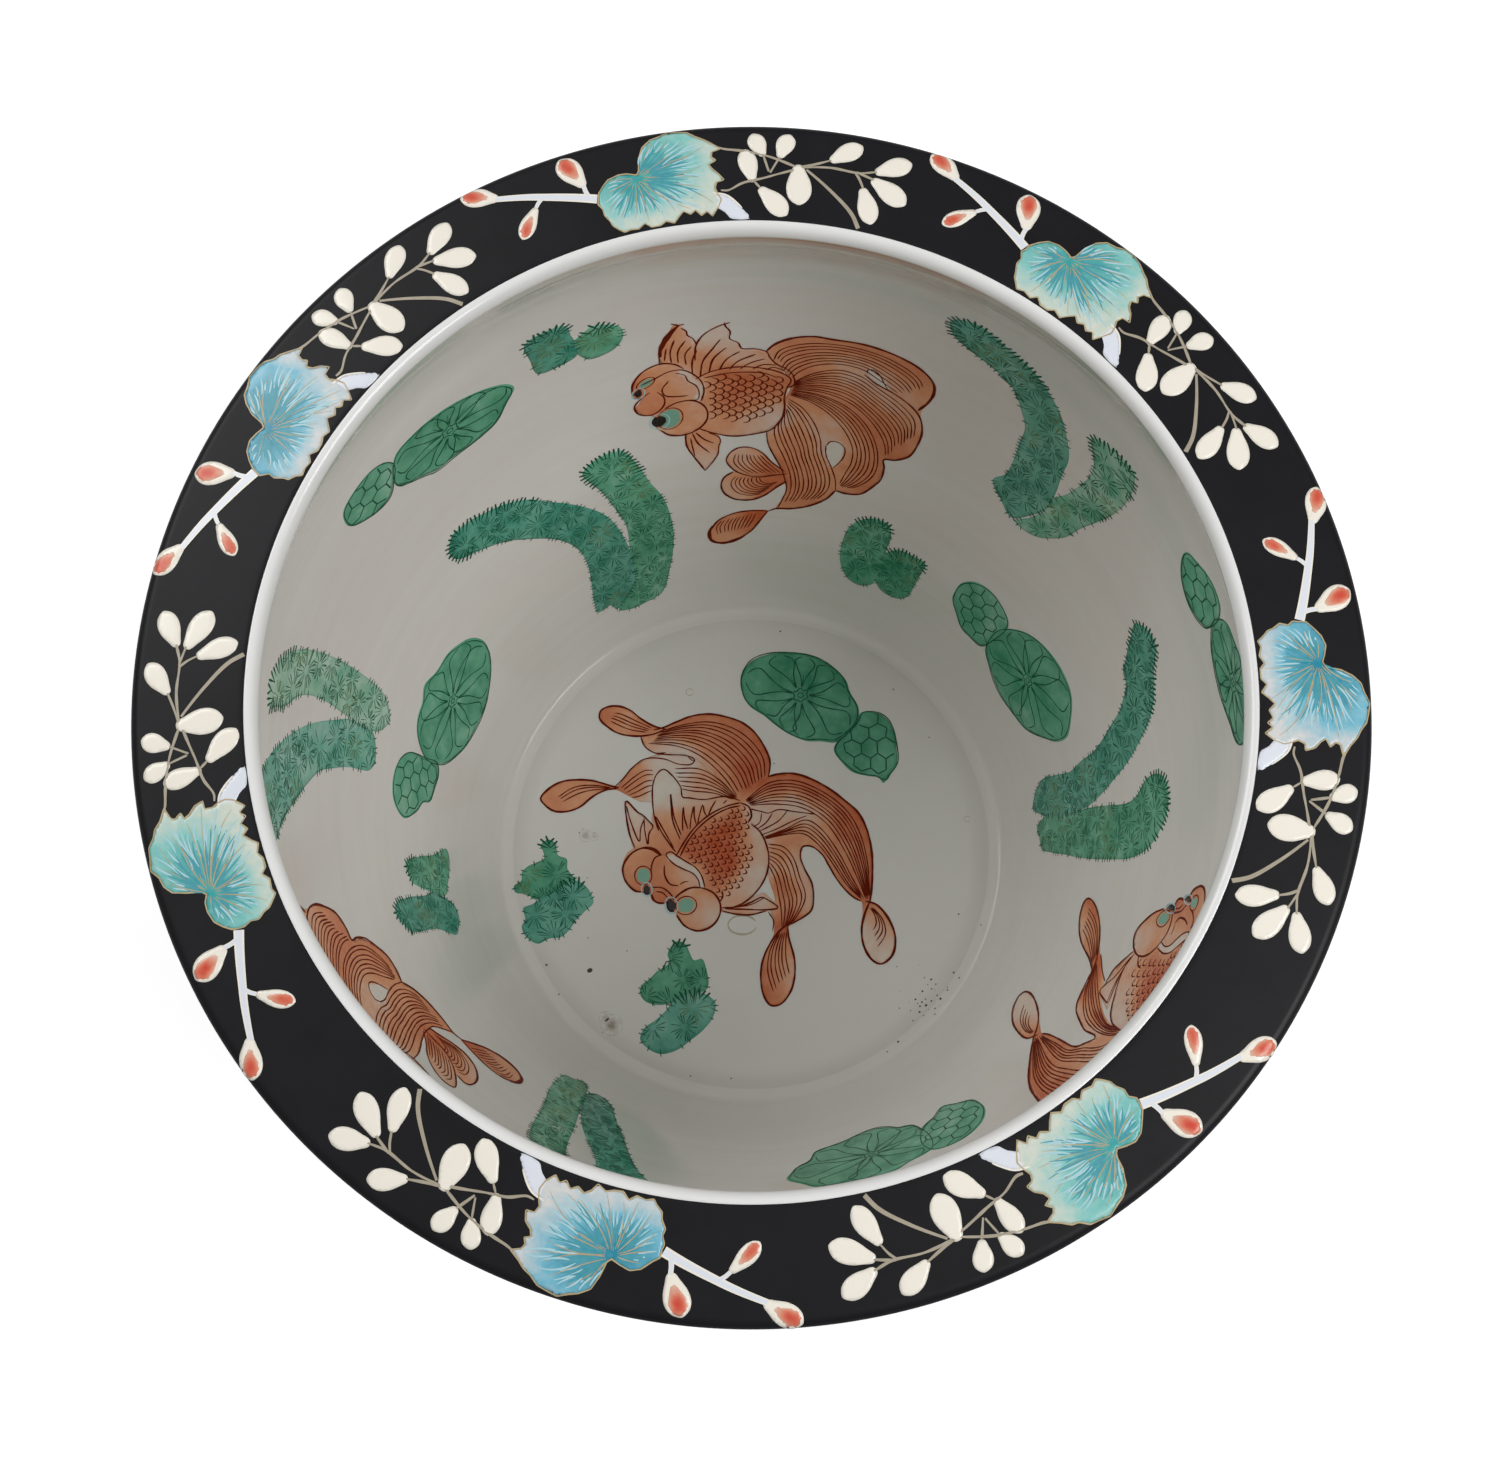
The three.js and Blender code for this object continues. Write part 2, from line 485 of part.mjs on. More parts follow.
function dropOutline([startX, startY, endX, endY, width]) {
  const span = new THREE.Vector2(endX - startX, endY - startY);
  const aside = new THREE.Vector2(-span.y, span.x).setLength(width);
  const edge = ([along, offset], side) => [
    startX + along * span.x + side * offset * aside.x,
    startY + along * span.y + side * offset * aside.y,
  ];
  const left = dropShares.map((share) => edge(share, 1));
  const right = dropShares.map((share) => edge(share, -1));
  return [...left, ...right.reverse()];
}

function joined(outlines, place) {
  return outlines.map((outline) => block(outline, place)).reduce((whole, part) => whole.add(part));
}

const twigOutlines = [...twigStemShares.map(stemOutline), ...twigBudShares.map(dropOutline)];
const berryOutlines = [...berryStemShares.map(stemOutline), ...berryShares.map(dropOutline)];

function addRimSprays() {
  rimSprayTurns.forEach((turn, index) => {
    const place = onRim(turn);
    const number = index + 1;
    addPiece(`rim_leaf_${number}`, block(rimLeafShares, place).intersect(rimShell), paints.turquoise);
    addPiece(`rim_twig_${number}`, joined(twigOutlines, place).intersect(rimShell), paints.paleBlue);
    addPiece(`rim_berries_${number}`, joined(berryOutlines, place).intersect(rimShell), paints.cream);
  });
}

function addOuterSprays() {
  const outlines = [rimLeafShares, ...twigOutlines, stemOutline(outerJoinShares)];
  outerSprayTurns.forEach((turn, index) => {
    const spray = joined(outlines, onOutside(turn)).intersect(outerShell);
    addPiece(`outer_spray_${index + 1}`, spray, paints.turquoise);
  });
}

function addWallMotifs() {
  for (const [name, paint, copies] of wallMotifShares) {
    copies.forEach(([outline, turn, moveDown], index) => {
      const place = onWall(turn);
      const motif = block(outline.map(([across, down]) => [across, down + moveDown]), place);
      addPiece(`${name}_${index + 1}`, motif.intersect(wallShell), paints[paint]);
    });
  }
}

function addFloorMotifs() {
  addPiece("floor_fish", block(floorFishShares, onFloor).intersect(floorShell), paints.ironRed);
  addPiece("floor_lily_pads", block(floorPadsShares, onFloor).intersect(floorShell), paints.green);
  floorWeedOffsetShares.forEach(([across, up], index) => {
    const outline = floorWeedShares.map(([x, y]) => [x + across, y + up]);
    addPiece(`floor_weed_${index + 1}`, block(outline, onFloor).intersect(floorShell), paints.green);
  });
}

addBody();
addCoats();
addWallMotifs();
addFloorMotifs();
addRimSprays();
addOuterSprays();

export default bowl;
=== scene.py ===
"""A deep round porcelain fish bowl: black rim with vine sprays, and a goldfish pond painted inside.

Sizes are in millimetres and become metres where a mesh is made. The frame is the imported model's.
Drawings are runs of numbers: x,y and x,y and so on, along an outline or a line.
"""
import logging
import math
from abc import ABC, abstractmethod
from dataclasses import dataclass, field
from enum import Enum

import bpy
import numpy as np
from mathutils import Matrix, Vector
from mathutils.geometry import delaunay_2d_cdt


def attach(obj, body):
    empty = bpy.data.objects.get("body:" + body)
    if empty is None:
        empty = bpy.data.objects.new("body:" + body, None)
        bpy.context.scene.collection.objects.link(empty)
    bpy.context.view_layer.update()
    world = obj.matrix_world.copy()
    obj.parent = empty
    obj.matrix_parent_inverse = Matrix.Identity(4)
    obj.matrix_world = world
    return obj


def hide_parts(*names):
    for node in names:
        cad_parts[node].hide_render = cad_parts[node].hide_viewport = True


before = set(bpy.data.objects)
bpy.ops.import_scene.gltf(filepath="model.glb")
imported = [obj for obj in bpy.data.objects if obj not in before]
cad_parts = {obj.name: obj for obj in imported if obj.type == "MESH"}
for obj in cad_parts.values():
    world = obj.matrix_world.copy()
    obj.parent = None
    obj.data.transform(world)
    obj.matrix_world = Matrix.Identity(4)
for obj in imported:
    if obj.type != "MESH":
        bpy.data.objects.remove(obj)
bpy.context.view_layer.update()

log = logging.getLogger("fish_bowl")
METRES = 0.001
SEED = 7
SEGMENTS = 320
WHOLE_TURN = 2 * math.pi
Array = np.ndarray
Run = tuple[float, ...]


def table(run: Run | Array, width: int = 2) -> Array:
    """Return a run of numbers as rows of so many columns."""
    return np.reshape(run, (-1, width)).astype(float)


def path_length(path: Array) -> Array:
    """Return the running length along a path."""
    return np.concatenate([[0], np.cumsum(np.linalg.norm(np.diff(path, axis=0), axis=1))])


def respaced(path: Array, count: int) -> Array:
    """Return count points evenly spaced along a path.

    Args:
        path: The path.
        count: How many points.
    Returns:
        The points.
    """
    run = path_length(path)
    at = np.linspace(0, run[-1], count)
    return np.stack([np.interp(at, run, path[:, axis]) for axis in (0, 1)], axis=1)


def smooth(points: Run | Array, step: float, closed: bool = False) -> Array:
    """Run a centripetal Catmull-Rom curve through the points and space it evenly.

    Each span is a cubic whose end slopes come from the chords' square roots.

    Args:
        points: The points to pass through.
        step: Spacing of the result, in the points' own unit.
        closed: Whether the last point runs on to the first.
    Returns:
        An array of points along the curve.
    """
    knots = table(points)
    if closed:
        knots = np.vstack([knots[-1], knots, knots[:2]])
    else:
        knots = np.vstack([2 * knots[0] - knots[1], knots, 2 * knots[-1] - knots[-2]])
    before, start, end, after = knots[:-3], knots[1:-2], knots[2:-1], knots[3:]
    gap_in, gap, gap_out = (
        np.maximum(np.linalg.norm(b - a, axis=1), 1e-9)[:, None] ** 0.5
        for a, b in ((before, start), (start, end), (end, after))
    )
    slope_in = ((start - before) / gap_in - (end - before) / (gap_in + gap) + (end - start) / gap) * gap
    slope_out = ((end - start) / gap - (after - start) / (gap + gap_out) + (after - end) / gap_out) * gap
    t = np.linspace(0, 1, 16, endpoint=False)[None, :, None]
    start, end, slope_in, slope_out = (a[:, None, :] for a in (start, end, slope_in, slope_out))
    curve = (
        start * (2 * t**3 - 3 * t**2 + 1) + slope_in * (t**3 - 2 * t**2 + t)
        + end * (3 * t**2 - 2 * t**3) + slope_out * (t**3 - t**2)
    ).reshape(-1, 2)
    curve = np.vstack([curve, knots[-2]])
    curve = respaced(curve, max(3, math.ceil(path_length(curve)[-1] / step)) + 1)
    return curve[:-1] if closed else curve


def inside(points: Array, outline: Array) -> Array:
    """Tell which points lie inside an outline, by counting the edges that a level ray crosses.

    Args:
        points: The points.
        outline: The outline's corners.
    Returns:
        Whether each point lies inside.
    """
    start, end = outline, np.roll(outline, -1, axis=0)
    x, y = points[:, :1], points[:, 1:]
    straddles = (start[:, 1] > y) != (end[:, 1] > y)
    rise = np.where(end[:, 1] == start[:, 1], 1e-12, end[:, 1] - start[:, 1])
    crossing = start[:, 0] + (y - start[:, 1]) / rise * (end[:, 0] - start[:, 0])
    return (straddles & (x < crossing)).sum(axis=1) % 2 == 1


def distance(points: Array, outline: Array) -> Array:
    """Return each point's distance to the nearest edge of a closed outline.

    Args:
        points: The points.
        outline: The outline's corners.
    Returns:
        The distances.
    """
    start, run = outline, np.roll(outline, -1, axis=0) - outline
    away = points[:, None, :] - start[None, :, :]
    along = np.clip((away * run).sum(axis=2) / np.maximum((run**2).sum(axis=1), 1e-12), 0, 1)
    return np.linalg.norm(away - along[:, :, None] * run, axis=2).min(axis=1)


def quarter_turn(runs: Array) -> Array:
    """Return vectors turned a quarter round to the left."""
    return np.stack([-runs[..., 1], runs[..., 0]], axis=-1)


def normals(paths: Array) -> Array:
    """Return the unit normal at each point of a path or of many: its slope, turned to the left."""
    slope = np.gradient(paths, axis=-2)
    return quarter_turn(slope / np.maximum(np.linalg.norm(slope, axis=-1, keepdims=True), 1e-9))


def arc(centre: Run | Array, radii: Run, start: float = 0.0, stop: float = 360.0, count: int = 28,
        lean: float = 0.0) -> Array:
    """Find points on an ellipse: cosine and sine shares of its radii, turned by its lean.

    Args:
        centre: Its middle.
        radii: Its two radii, or one for a circle.
        start: The first angle in degrees.
        stop: The last angle; a whole round leaves out its repeated end.
        count: How many points.
        lean: The ellipse's own turn in degrees.
    Returns:
        The points.
    """
    angle = np.radians(np.linspace(start, stop, count, endpoint=stop - start < 360))
    tilt = math.radians(lean)
    x, y = radii[0] * np.cos(angle), radii[-1] * np.sin(angle)
    return np.stack([centre[0] + x * math.cos(tilt) - y * math.sin(tilt),
                     centre[1] + x * math.sin(tilt) + y * math.cos(tilt)], axis=1)


@dataclass(frozen=True)
class BowlForm:
    """The thrown body: its sizes and the curve of its inner wall."""

    height: float = 320.0
    rim_radius: float = 203.0
    band_width: float = 38.0
    lip_width: float = 3.7
    lip_drop: float = 4.4
    lip_run: float = 5.3
    rim_drop: float = 4.65
    edge_thickness: float = 6.4
    root_thickness: float = 10.0
    neck_return: float = 4.5
    neck_depth: float = 19.3
    belly_bulge: float = 14.5
    belly_depth: float = 72.5
    wall_foot_radius: float = 116.3
    wall_thickness: float = 9.0
    floor_thickness: float = 11.8
    floor_fillet: float = 3.85
    foot_height: float = 10.0
    foot_radius: float = 119.0
    foot_width: float = 12.0
    foot_chamfer: float = 1.5
    coat: float = 0.9
    shoulder_share: Run = (0.221, 0.515)
    lower_shares: Run = (0.95, 0.836, 0.773, 0.608, 0.559, 0.429, 0.347, 0.251, 0.133, 0.073)

    @property
    def band_radius(self) -> float:
        """Radius of the line between the white lip and the black band."""
        return self.rim_radius - self.band_width

    @property
    def floor(self) -> float:
        """Height of the floor's upper face."""
        return self.foot_height + self.floor_thickness

    @property
    def edge_centre(self) -> tuple[float, float]:
        """Centre of the rim edge's round: radius and height."""
        return self.rim_radius - self.edge_thickness / 2 - self.coat, self.height - self.rim_drop

    def inner_wall(self) -> Array:
        """Return the inner wall from the throat to the floor: radius and height, a millimetre apart.

        Returns:
            Points from the throat to the floor.
        """
        throat = np.array([self.band_radius - self.lip_width, self.height - self.lip_drop])
        neck = np.array([throat[0] + self.neck_return, self.height - self.neck_depth])
        belly = np.array([neck[0] + self.belly_bulge, self.height - self.belly_depth])
        foot = np.array([self.wall_foot_radius, self.floor])
        shoulder = belly + self.shoulder_share * (neck - belly)
        lower = foot + table(self.lower_shares) * (belly - foot)
        return smooth(np.vstack([throat, neck, shoulder, belly, lower, foot]), 1.0)

    def offset_wall(self, away: float) -> Array:
        """Return the inner wall moved outwards along its normals."""
        wall = self.inner_wall()
        return wall + away * normals(wall)


FORM = BowlForm()


class Sheet(ABC):
    """A face that paint lies on, measured in millimetres across and along it."""

    @abstractmethod
    def place(self, across: Array, along: Array, lift: Array) -> Array:
        """Find the places of points on the sheet.

        Args:
            across: Millimetres across the face.
            along: Millimetres along it.
            lift: Height over it.
        Returns:
            The points in space, in millimetres.
        """

    @staticmethod
    def turned(radius: Array, degrees: Array, height: Array) -> Array:
        """Return points from their radius, angle about the axis and height."""
        angle = np.radians(degrees)
        return np.stack([radius * np.cos(angle), radius * np.sin(angle), height], axis=1)

    @staticmethod
    def between(at: Array, run: Array, *curves: Array) -> list[Array]:
        """Return every column of some curves where their running length is at."""
        return [np.interp(at, run, column) for column in np.hstack(curves).T]


@dataclass(frozen=True)
class WallSheet(Sheet):
    """The inner wall: across runs clockwise from the turn, and along runs down from the lip's top."""

    turn: float
    down: float = 0.0
    degrees_per_mm: float = 0.356

    def place(self, across: Array, along: Array, lift: Array) -> Array:
        """Find the points at that arc length down the wall, moved towards the axis by lift.

        Args:
            across: Millimetres clockwise from the turn.
            along: Millimetres down from the lip's top.
            lift: Height over the wall, in millimetres.
        Returns:
            The points in space, in millimetres.
        """
        wall = FORM.inner_wall()
        run = path_length(wall) + FORM.lip_run
        radius, height, out, up = self.between(along + self.down, run, wall, normals(wall))
        return self.turned(radius - lift * out, self.turn - across * self.degrees_per_mm, height - lift * up)


@dataclass(frozen=True)
class FloorSheet(Sheet):
    """The flat floor: across is X and along is Y."""

    def place(self, across: Array, along: Array, lift: Array) -> Array:
        """Find the points above the floor.

        Args:
            across: Millimetres along X.
            along: Millimetres along Y.
            lift: Height over the floor, in millimetres.
        Returns:
            The points in space, in millimetres.
        """
        return np.stack([across, along, FORM.floor + lift], axis=1)


@dataclass(frozen=True)
class RimSheet(Sheet):
    """The black band: across runs clockwise from the turn, and along runs outwards from the lip."""

    turn: float
    degrees_per_mm: float = 0.311

    def place(self, across: Array, along: Array, lift: Array) -> Array:
        """Find the points on the band's gentle slope, or on the edge's round past it.

        Args:
            across: Millimetres clockwise from the turn.
            along: Millimetres outwards from the lip.
            lift: Height over the band, in millimetres.
        Returns:
            The points in space, in millimetres.
        """
        centre, middle = FORM.edge_centre
        rounding, reach = FORM.edge_thickness / 2 + FORM.coat, centre - FORM.band_radius
        radius = FORM.band_radius + along
        over = np.clip((radius - centre) / rounding, 0, 0.999)
        level = np.sqrt(1 - over**2)
        flat = FORM.height - (FORM.height - middle - rounding) / reach * np.minimum(along, reach)
        height = flat - rounding * (1 - level) + lift * level
        return self.turned(radius + lift * over, self.turn - across * self.degrees_per_mm, height)


@dataclass(frozen=True)
class OutsideSheet(Sheet):
    """The outside of the bowl: across runs round it, and along runs up, with the rim's own shapes."""

    turn: float
    degrees_per_mm: float = 0.5
    start_share: float = 0.16
    share_per_mm: float = 0.0062

    def place(self, across: Array, along: Array, lift: Array) -> Array:
        """Find the points at that share of the wall's length, on the black ground.

        Args:
            across: Millimetres round the bowl from the turn.
            along: Millimetres up.
            lift: Height over the ground, in millimetres.
        Returns:
            The points in space, in millimetres.
        """
        wall, outer = FORM.inner_wall(), FORM.offset_wall(FORM.wall_thickness + FORM.coat)
        share = path_length(wall) / path_length(wall)[-1]
        at = self.start_share + (FORM.band_width - along) * self.share_per_mm
        radius, height, out, up = self.between(at, share, outer, normals(wall))
        return self.turned(radius + lift * out, self.turn + across * self.degrees_per_mm, height + lift * up)


def linear(hex_colour: str) -> tuple[float, float, float, float]:
    """Turn an sRGB hex colour into linear red, green, blue and alpha."""
    parts = [int(hex_colour[i:i + 2], 16) / 255 for i in (1, 3, 5)]
    return (*(c / 12.92 if c <= 0.04045 else ((c + 0.055) / 1.055) ** 2.4 for c in parts), 1.0)


def emptied_tree(owner: bpy.types.Material | bpy.types.World) -> bpy.types.NodeTree:
    """Turn on the nodes of a material or world and return its tree without any.

    Args:
        owner: The material or world.
    Returns:
        Its empty node tree.
    """
    owner.use_nodes = True
    owner.node_tree.nodes.clear()
    return owner.node_tree


def add_node(tree: bpy.types.NodeTree, kind: str, inputs: dict | None = None,
             **settings: object) -> bpy.types.Node:
    """Add a node, and set or link its inputs.

    Args:
        tree: The node tree.
        kind: The node's type, without the words that every shader node's type starts with.
        inputs: Values or output sockets, by the input's name or number.
        settings: Properties of the node.
    Returns:
        The new node.
    """
    node = tree.nodes.new(f"ShaderNode{kind}")
    for name, value in settings.items():
        setattr(node, name, value)
    for key, value in (inputs or {}).items():
        if isinstance(value, bpy.types.NodeSocket):
            tree.links.new(value, node.inputs[key])
        else:
            node.inputs[key].default_value = value
    return node


@dataclass(frozen=True)
class Finish:
    """A fired colour: pale where it is thin, deep where it is thick, mottled by the brush."""

    name: str
    pale: str
    deep: str
    mottle_mm: float
    mottle: float
    roughness: float
    stretch: Run = (1.0, 1.0, 1.0)
    bump_mm: float = 0.0
    bump_size_mm: float = 6.0
    specular: float = 0.5
    laid: bool = True
    middle: str = ""

    def material(self) -> bpy.types.Material:
        """Build the node material, or return it if it is already there.

        The colour's depth is the mesh's own lay, or a half, shifted by a noise of the mottle's size.

        Returns:
            The material of that name.
        """
        found = bpy.data.materials.get(self.name)
        if found:
            return found
        material = bpy.data.materials.new(self.name)
        tree = emptied_tree(material)
        place = add_node(tree, "TexCoord").outputs["Object"]
        stretch = {0: place, 1: self.stretch}
        stretched = add_node(tree, "VectorMath", stretch, operation="MULTIPLY").outputs[0]
        noise = add_node(tree, "TexNoise", {
            "Vector": stretched, "Scale": 1 / (self.mottle_mm * METRES), "Detail": 5.0, "Roughness": 0.6,
        }).outputs["Fac"]
        shift = add_node(tree, "Math", {0: noise, 1: 0.5}, operation="SUBTRACT").outputs[0]
        lay = add_node(tree, "Attribute", attribute_name="lay").outputs["Fac"] if self.laid else 0.5
        depth = add_node(tree, "Math", {0: shift, 1: self.mottle, 2: lay}, operation="MULTIPLY_ADD")
        ramp = add_node(tree, "ValToRGB", {"Fac": depth.outputs[0]})
        stops = ramp.color_ramp.elements
        stops[0].color, stops[1].color = linear(self.pale), linear(self.deep)
        if self.middle:
            stops.new(0.5).color = linear(self.middle)
        shader = add_node(tree, "BsdfPrincipled", {
            "Base Color": ramp.outputs[0], "Roughness": self.roughness, "Specular IOR Level": self.specular,
        })
        if self.bump_mm:
            ripple = add_node(tree, "TexNoise", {
                "Vector": stretched, "Scale": 1 / (self.bump_size_mm * METRES), "Detail": 3.0,
            }).outputs["Fac"]
            reach = self.bump_mm * METRES
            bump = add_node(tree, "Bump", {"Height": ripple, "Distance": reach, "Strength": 1.0})
            tree.links.new(bump.outputs[0], shader.inputs["Normal"])
        add_node(tree, "OutputMaterial", {"Surface": shader.outputs[0]})
        return material


class Paint(Enum):
    """Every finish on the bowl."""

    # Fired glaze over white clay: glassy, greyish, with faint level streaks from the throwing; its deep
    # colour mostly shows as the painted warm reflection high on the far wall
    PORCELAIN = Finish("glazed_thrown_porcelain", "#EEEEED", "#C9A48C", 30, 0.4, 0.13, (0.3, 0.3, 4.5),
                       0.05, 9.0, middle="#E2DFD8")
    # Unglazed clay at the foot: dry and sandy
    BARE = Finish("unglazed_stoneware_clay", "#D9CBB2", "#B79F80", 8, 1.6, 0.85, bump_mm=0.12,
                  bump_size_mm=0.8, specular=0.3, laid=False)
    # Matt black overglaze ground: satin, a little uneven from the brush
    BLACK = Finish("brushed_black_enamel", "#17171B", "#0C0C0F", 20, 1.5, 0.4, bump_mm=0.03,
                   bump_size_mm=3, specular=0.22, laid=False)
    # Iron red washed thin: orange where it is whole, bare glaze where it fades out
    IRON_WASH = Finish("washed_iron_red", "#E6DFD6", "#C44C16", 6, 0.35, 0.25, specular=0.25,
                       middle="#E6A27A")
    IRON_LINE = Finish("brushed_iron_red_line", "#822304", "#4C1000", 5, 0.9, 0.4, specular=0.06,
                       laid=False)
    # Copper green, glassy and pooled unevenly, with bluer drifts
    GREEN_WASH = Finish("washed_copper_green", "#BCDCC9", "#2F8A66", 13, 1.3, 0.16, bump_mm=0.02,
                        bump_size_mm=4, specular=0.35, middle="#6CB696")
    TEAL_WASH = Finish("washed_blue_green", "#B8D8CC", "#34907A", 13, 1.3, 0.16, bump_mm=0.02,
                       bump_size_mm=4, specular=0.35, middle="#74BAA6")
    GREEN_STROKE = Finish("brushed_copper_green", "#146B4F", "#08422F", 5, 0.9, 0.25, specular=0.15,
                          laid=False)
    OLIVE_HAIR = Finish("thin_olive_stroke", "#6F8A52", "#546B38", 5, 0.9, 0.3, specular=0.15, laid=False)
    GREEN_HAIR = Finish("thin_copper_green_stroke", "#187052", "#094735", 5, 0.9, 0.3, specular=0.15,
                        laid=False)
    # The eyes: a flat opaque iris and a glassy black pupil
    IRIS = Finish("pale_turquoise_enamel", "#8FC0AC", "#6FA892", 3, 0.8, 0.16, laid=False)
    PUPIL = Finish("black_line_enamel", "#141315", "#0B0A0B", 3, 0.5, 0.22, laid=False)
    # Turquoise shaded into a lavender white, as opaque as paste
    LEAF = Finish("shaded_turquoise_enamel", "#DDDBD8", "#1C8AA2", 4, 0.6, 0.24, bump_mm=0.04,
                  bump_size_mm=3, middle="#78BDD2")
    LEAF_GREENER = Finish("shaded_sea_green_enamel", "#DCDED0", "#36A3A3", 4, 0.6, 0.24, bump_mm=0.04,
                          bump_size_mm=3, middle="#8ACCC6")
    LEAF_DEEP = Finish("deep_turquoise_stroke", "#58AEBA", "#348E9E", 4, 0.9, 0.25, laid=False)
    LEAF_PALE = Finish("pale_blue_white_stroke", "#BFDFE6", "#9FD0DA", 4, 0.9, 0.25, laid=False)
    LEAF_EDGE = Finish("tan_line_enamel", "#D2BF98", "#A08C62", 3, 1.1, 0.3, laid=False)
    # Pastes of the vine: milky blue wood, creamy berries with tan edges, coral bud hearts
    TWIG = Finish("pale_blue_enamel", "#DEE4F0", "#BCCBEE", 4, 1.2, 0.25, bump_mm=0.03, bump_size_mm=2,
                  laid=False)
    CREAM = Finish("cream_enamel", "#E4D7C0", "#A07E50", 5, 0.5, 0.28, bump_mm=0.04, bump_size_mm=2)
    STEM = Finish("pale_straw_line_enamel", "#BDB3A0", "#968C79", 4, 1.0, 0.3, laid=False)
    CORAL = Finish("coral_enamel", "#E6D2BE", "#D4452E", 3, 0.4, 0.25, middle="#E0886C")
    # Iron in the clay and dirt in the kiln: brown marks that melted into the glaze
    IRON_SPOT = Finish("fired_iron_speck", "#5A4632", "#2A1E14", 2, 1.2, 0.35, laid=False)
    STAIN = Finish("faint_water_stain", "#C9C4AE", "#B3A98C", 5, 1.2, 0.2, laid=False)
    SMUDGE = Finish("fired_brown_smudge", "#E6E4E0", "#3E3022", 1.5, 0.7, 0.13, middle="#A89C8C")
    DUST = Finish("fired_brown_dust", "#A89A88", "#77695A", 3, 1.4, 0.3, laid=False)


@dataclass(frozen=True)
class Shading:
    """How thickly a wash lies: the blend of the nearest of a few given places.

    Each row of spots is a share and then places that have it, and each zone a share and then its outline.
    """

    spots: tuple[Run, ...] | Array
    reach: float = 7.0
    zones: tuple[Run, ...] = ()

    def at(self, points: Array) -> Array:
        """Return the share at each point: a bell-weighted mean of the spots, then the zones over it.

        Args:
            points: Places in the drawing.
        Returns:
            The share at each.
        """
        places = np.vstack([table(spots[1:]) for spots in self.spots])
        depths = np.concatenate([np.full(len(spots) // 2, spots[0]) for spots in self.spots])
        gap = ((points[:, None, :] - places[None, :, :]) ** 2).sum(axis=2)
        gap -= gap.min(axis=1)[:, None]
        weight = np.exp(-gap / (2 * self.reach**2))
        shares = (weight * depths).sum(axis=1) / weight.sum(axis=1)
        for share, *outline in self.zones:
            shares = np.where(inside(points, smooth(outline, 1.0, closed=True)), share, shares)
        return shares


@dataclass(frozen=True)
class GlazeToneAndReflection:
    """Glaze tone by bearing and height: even, palest on the lip, with a painted warm reflection high on one
    side.
    """

    even: float = 0.32
    reflection_peak: float = 0.75
    lip: float = 0.05
    turn: float = 80.0
    spread: float = 48.0
    far_side: float = 0.15
    low: float = 240.0
    high: float = 315.5
    streaks: int = 110
    thickness_mm: float = 0.9
    slant: float = 0.02

    def at(self, points: Array) -> Array:
        """Return the share at each point: a bell round the bowl times a rise, plus a flat bell per streak.

        Args:
            points: Degrees about the axis and heights.
        Returns:
            The share at each.
        """
        degrees, height = points.T
        aside = (degrees - self.turn + 180) % 360 - 180
        rise = np.clip((height - self.low) / (self.high - self.low), 0, 1)
        # Painted warm reflection: a bell round the far side that rises towards the lip, with level streaks
        # added below
        reflection = (self.far_side + (1 - self.far_side) * np.exp(-((aside / self.spread) ** 2))) * rise
        shares = self.even + (self.reflection_peak - self.even) * reflection
        hand = np.random.default_rng(SEED)
        for _ in range(self.streaks):
            level = self.high - (self.high - self.low) * hand.uniform() ** 1.5
            gap = (degrees - hand.uniform(-180, 180) + 180) % 360 - 180
            away = (height - level - self.slant * gap) / self.thickness_mm
            bell = np.exp(-(away**2) - (gap / hand.uniform(5, 22)) ** 2)
            shares += reflection * hand.uniform(-0.3, 0.5) * bell
        return np.where(height > self.high, self.lip, shares)


@dataclass(frozen=True)
class Warp:
    """Bends a drawing so that named places land on others, as a thin plate would; with none it does nothing.

    Pairs run x, y here and x, y there.
    """

    pairs: Run = ()
    stiffness: float = 30.0

    @staticmethod
    def pulls(places: Array, source: Array) -> Array:
        """Return r squared log r from each place to each source."""
        gap = ((places[:, None, :] - source[None, :, :]) ** 2).sum(axis=2)
        return 0.5 * gap * np.log(np.maximum(gap, 1e-12))

    def at(self, points: Array) -> Array:
        """Return the bent points: an even stretch plus a pull towards each pair.

        Args:
            points: Places in the drawing.
        Returns:
            Where they land.
        """
        if not self.pairs:
            return points
        source, target = np.split(table(self.pairs, 4), 2, axis=1)
        count = len(source)
        level = np.hstack([np.ones((count, 1)), source])
        bend = self.pulls(source, source) + self.stiffness * np.eye(count)
        system = np.block([[bend, level], [level.T, np.zeros((3, 3))]])
        weights = np.linalg.solve(system, np.vstack([target, np.zeros((3, 2))]))
        even = np.hstack([np.ones((len(points), 1)), points]) @ weights[count:]
        return self.pulls(points, source) @ weights[:count] + even


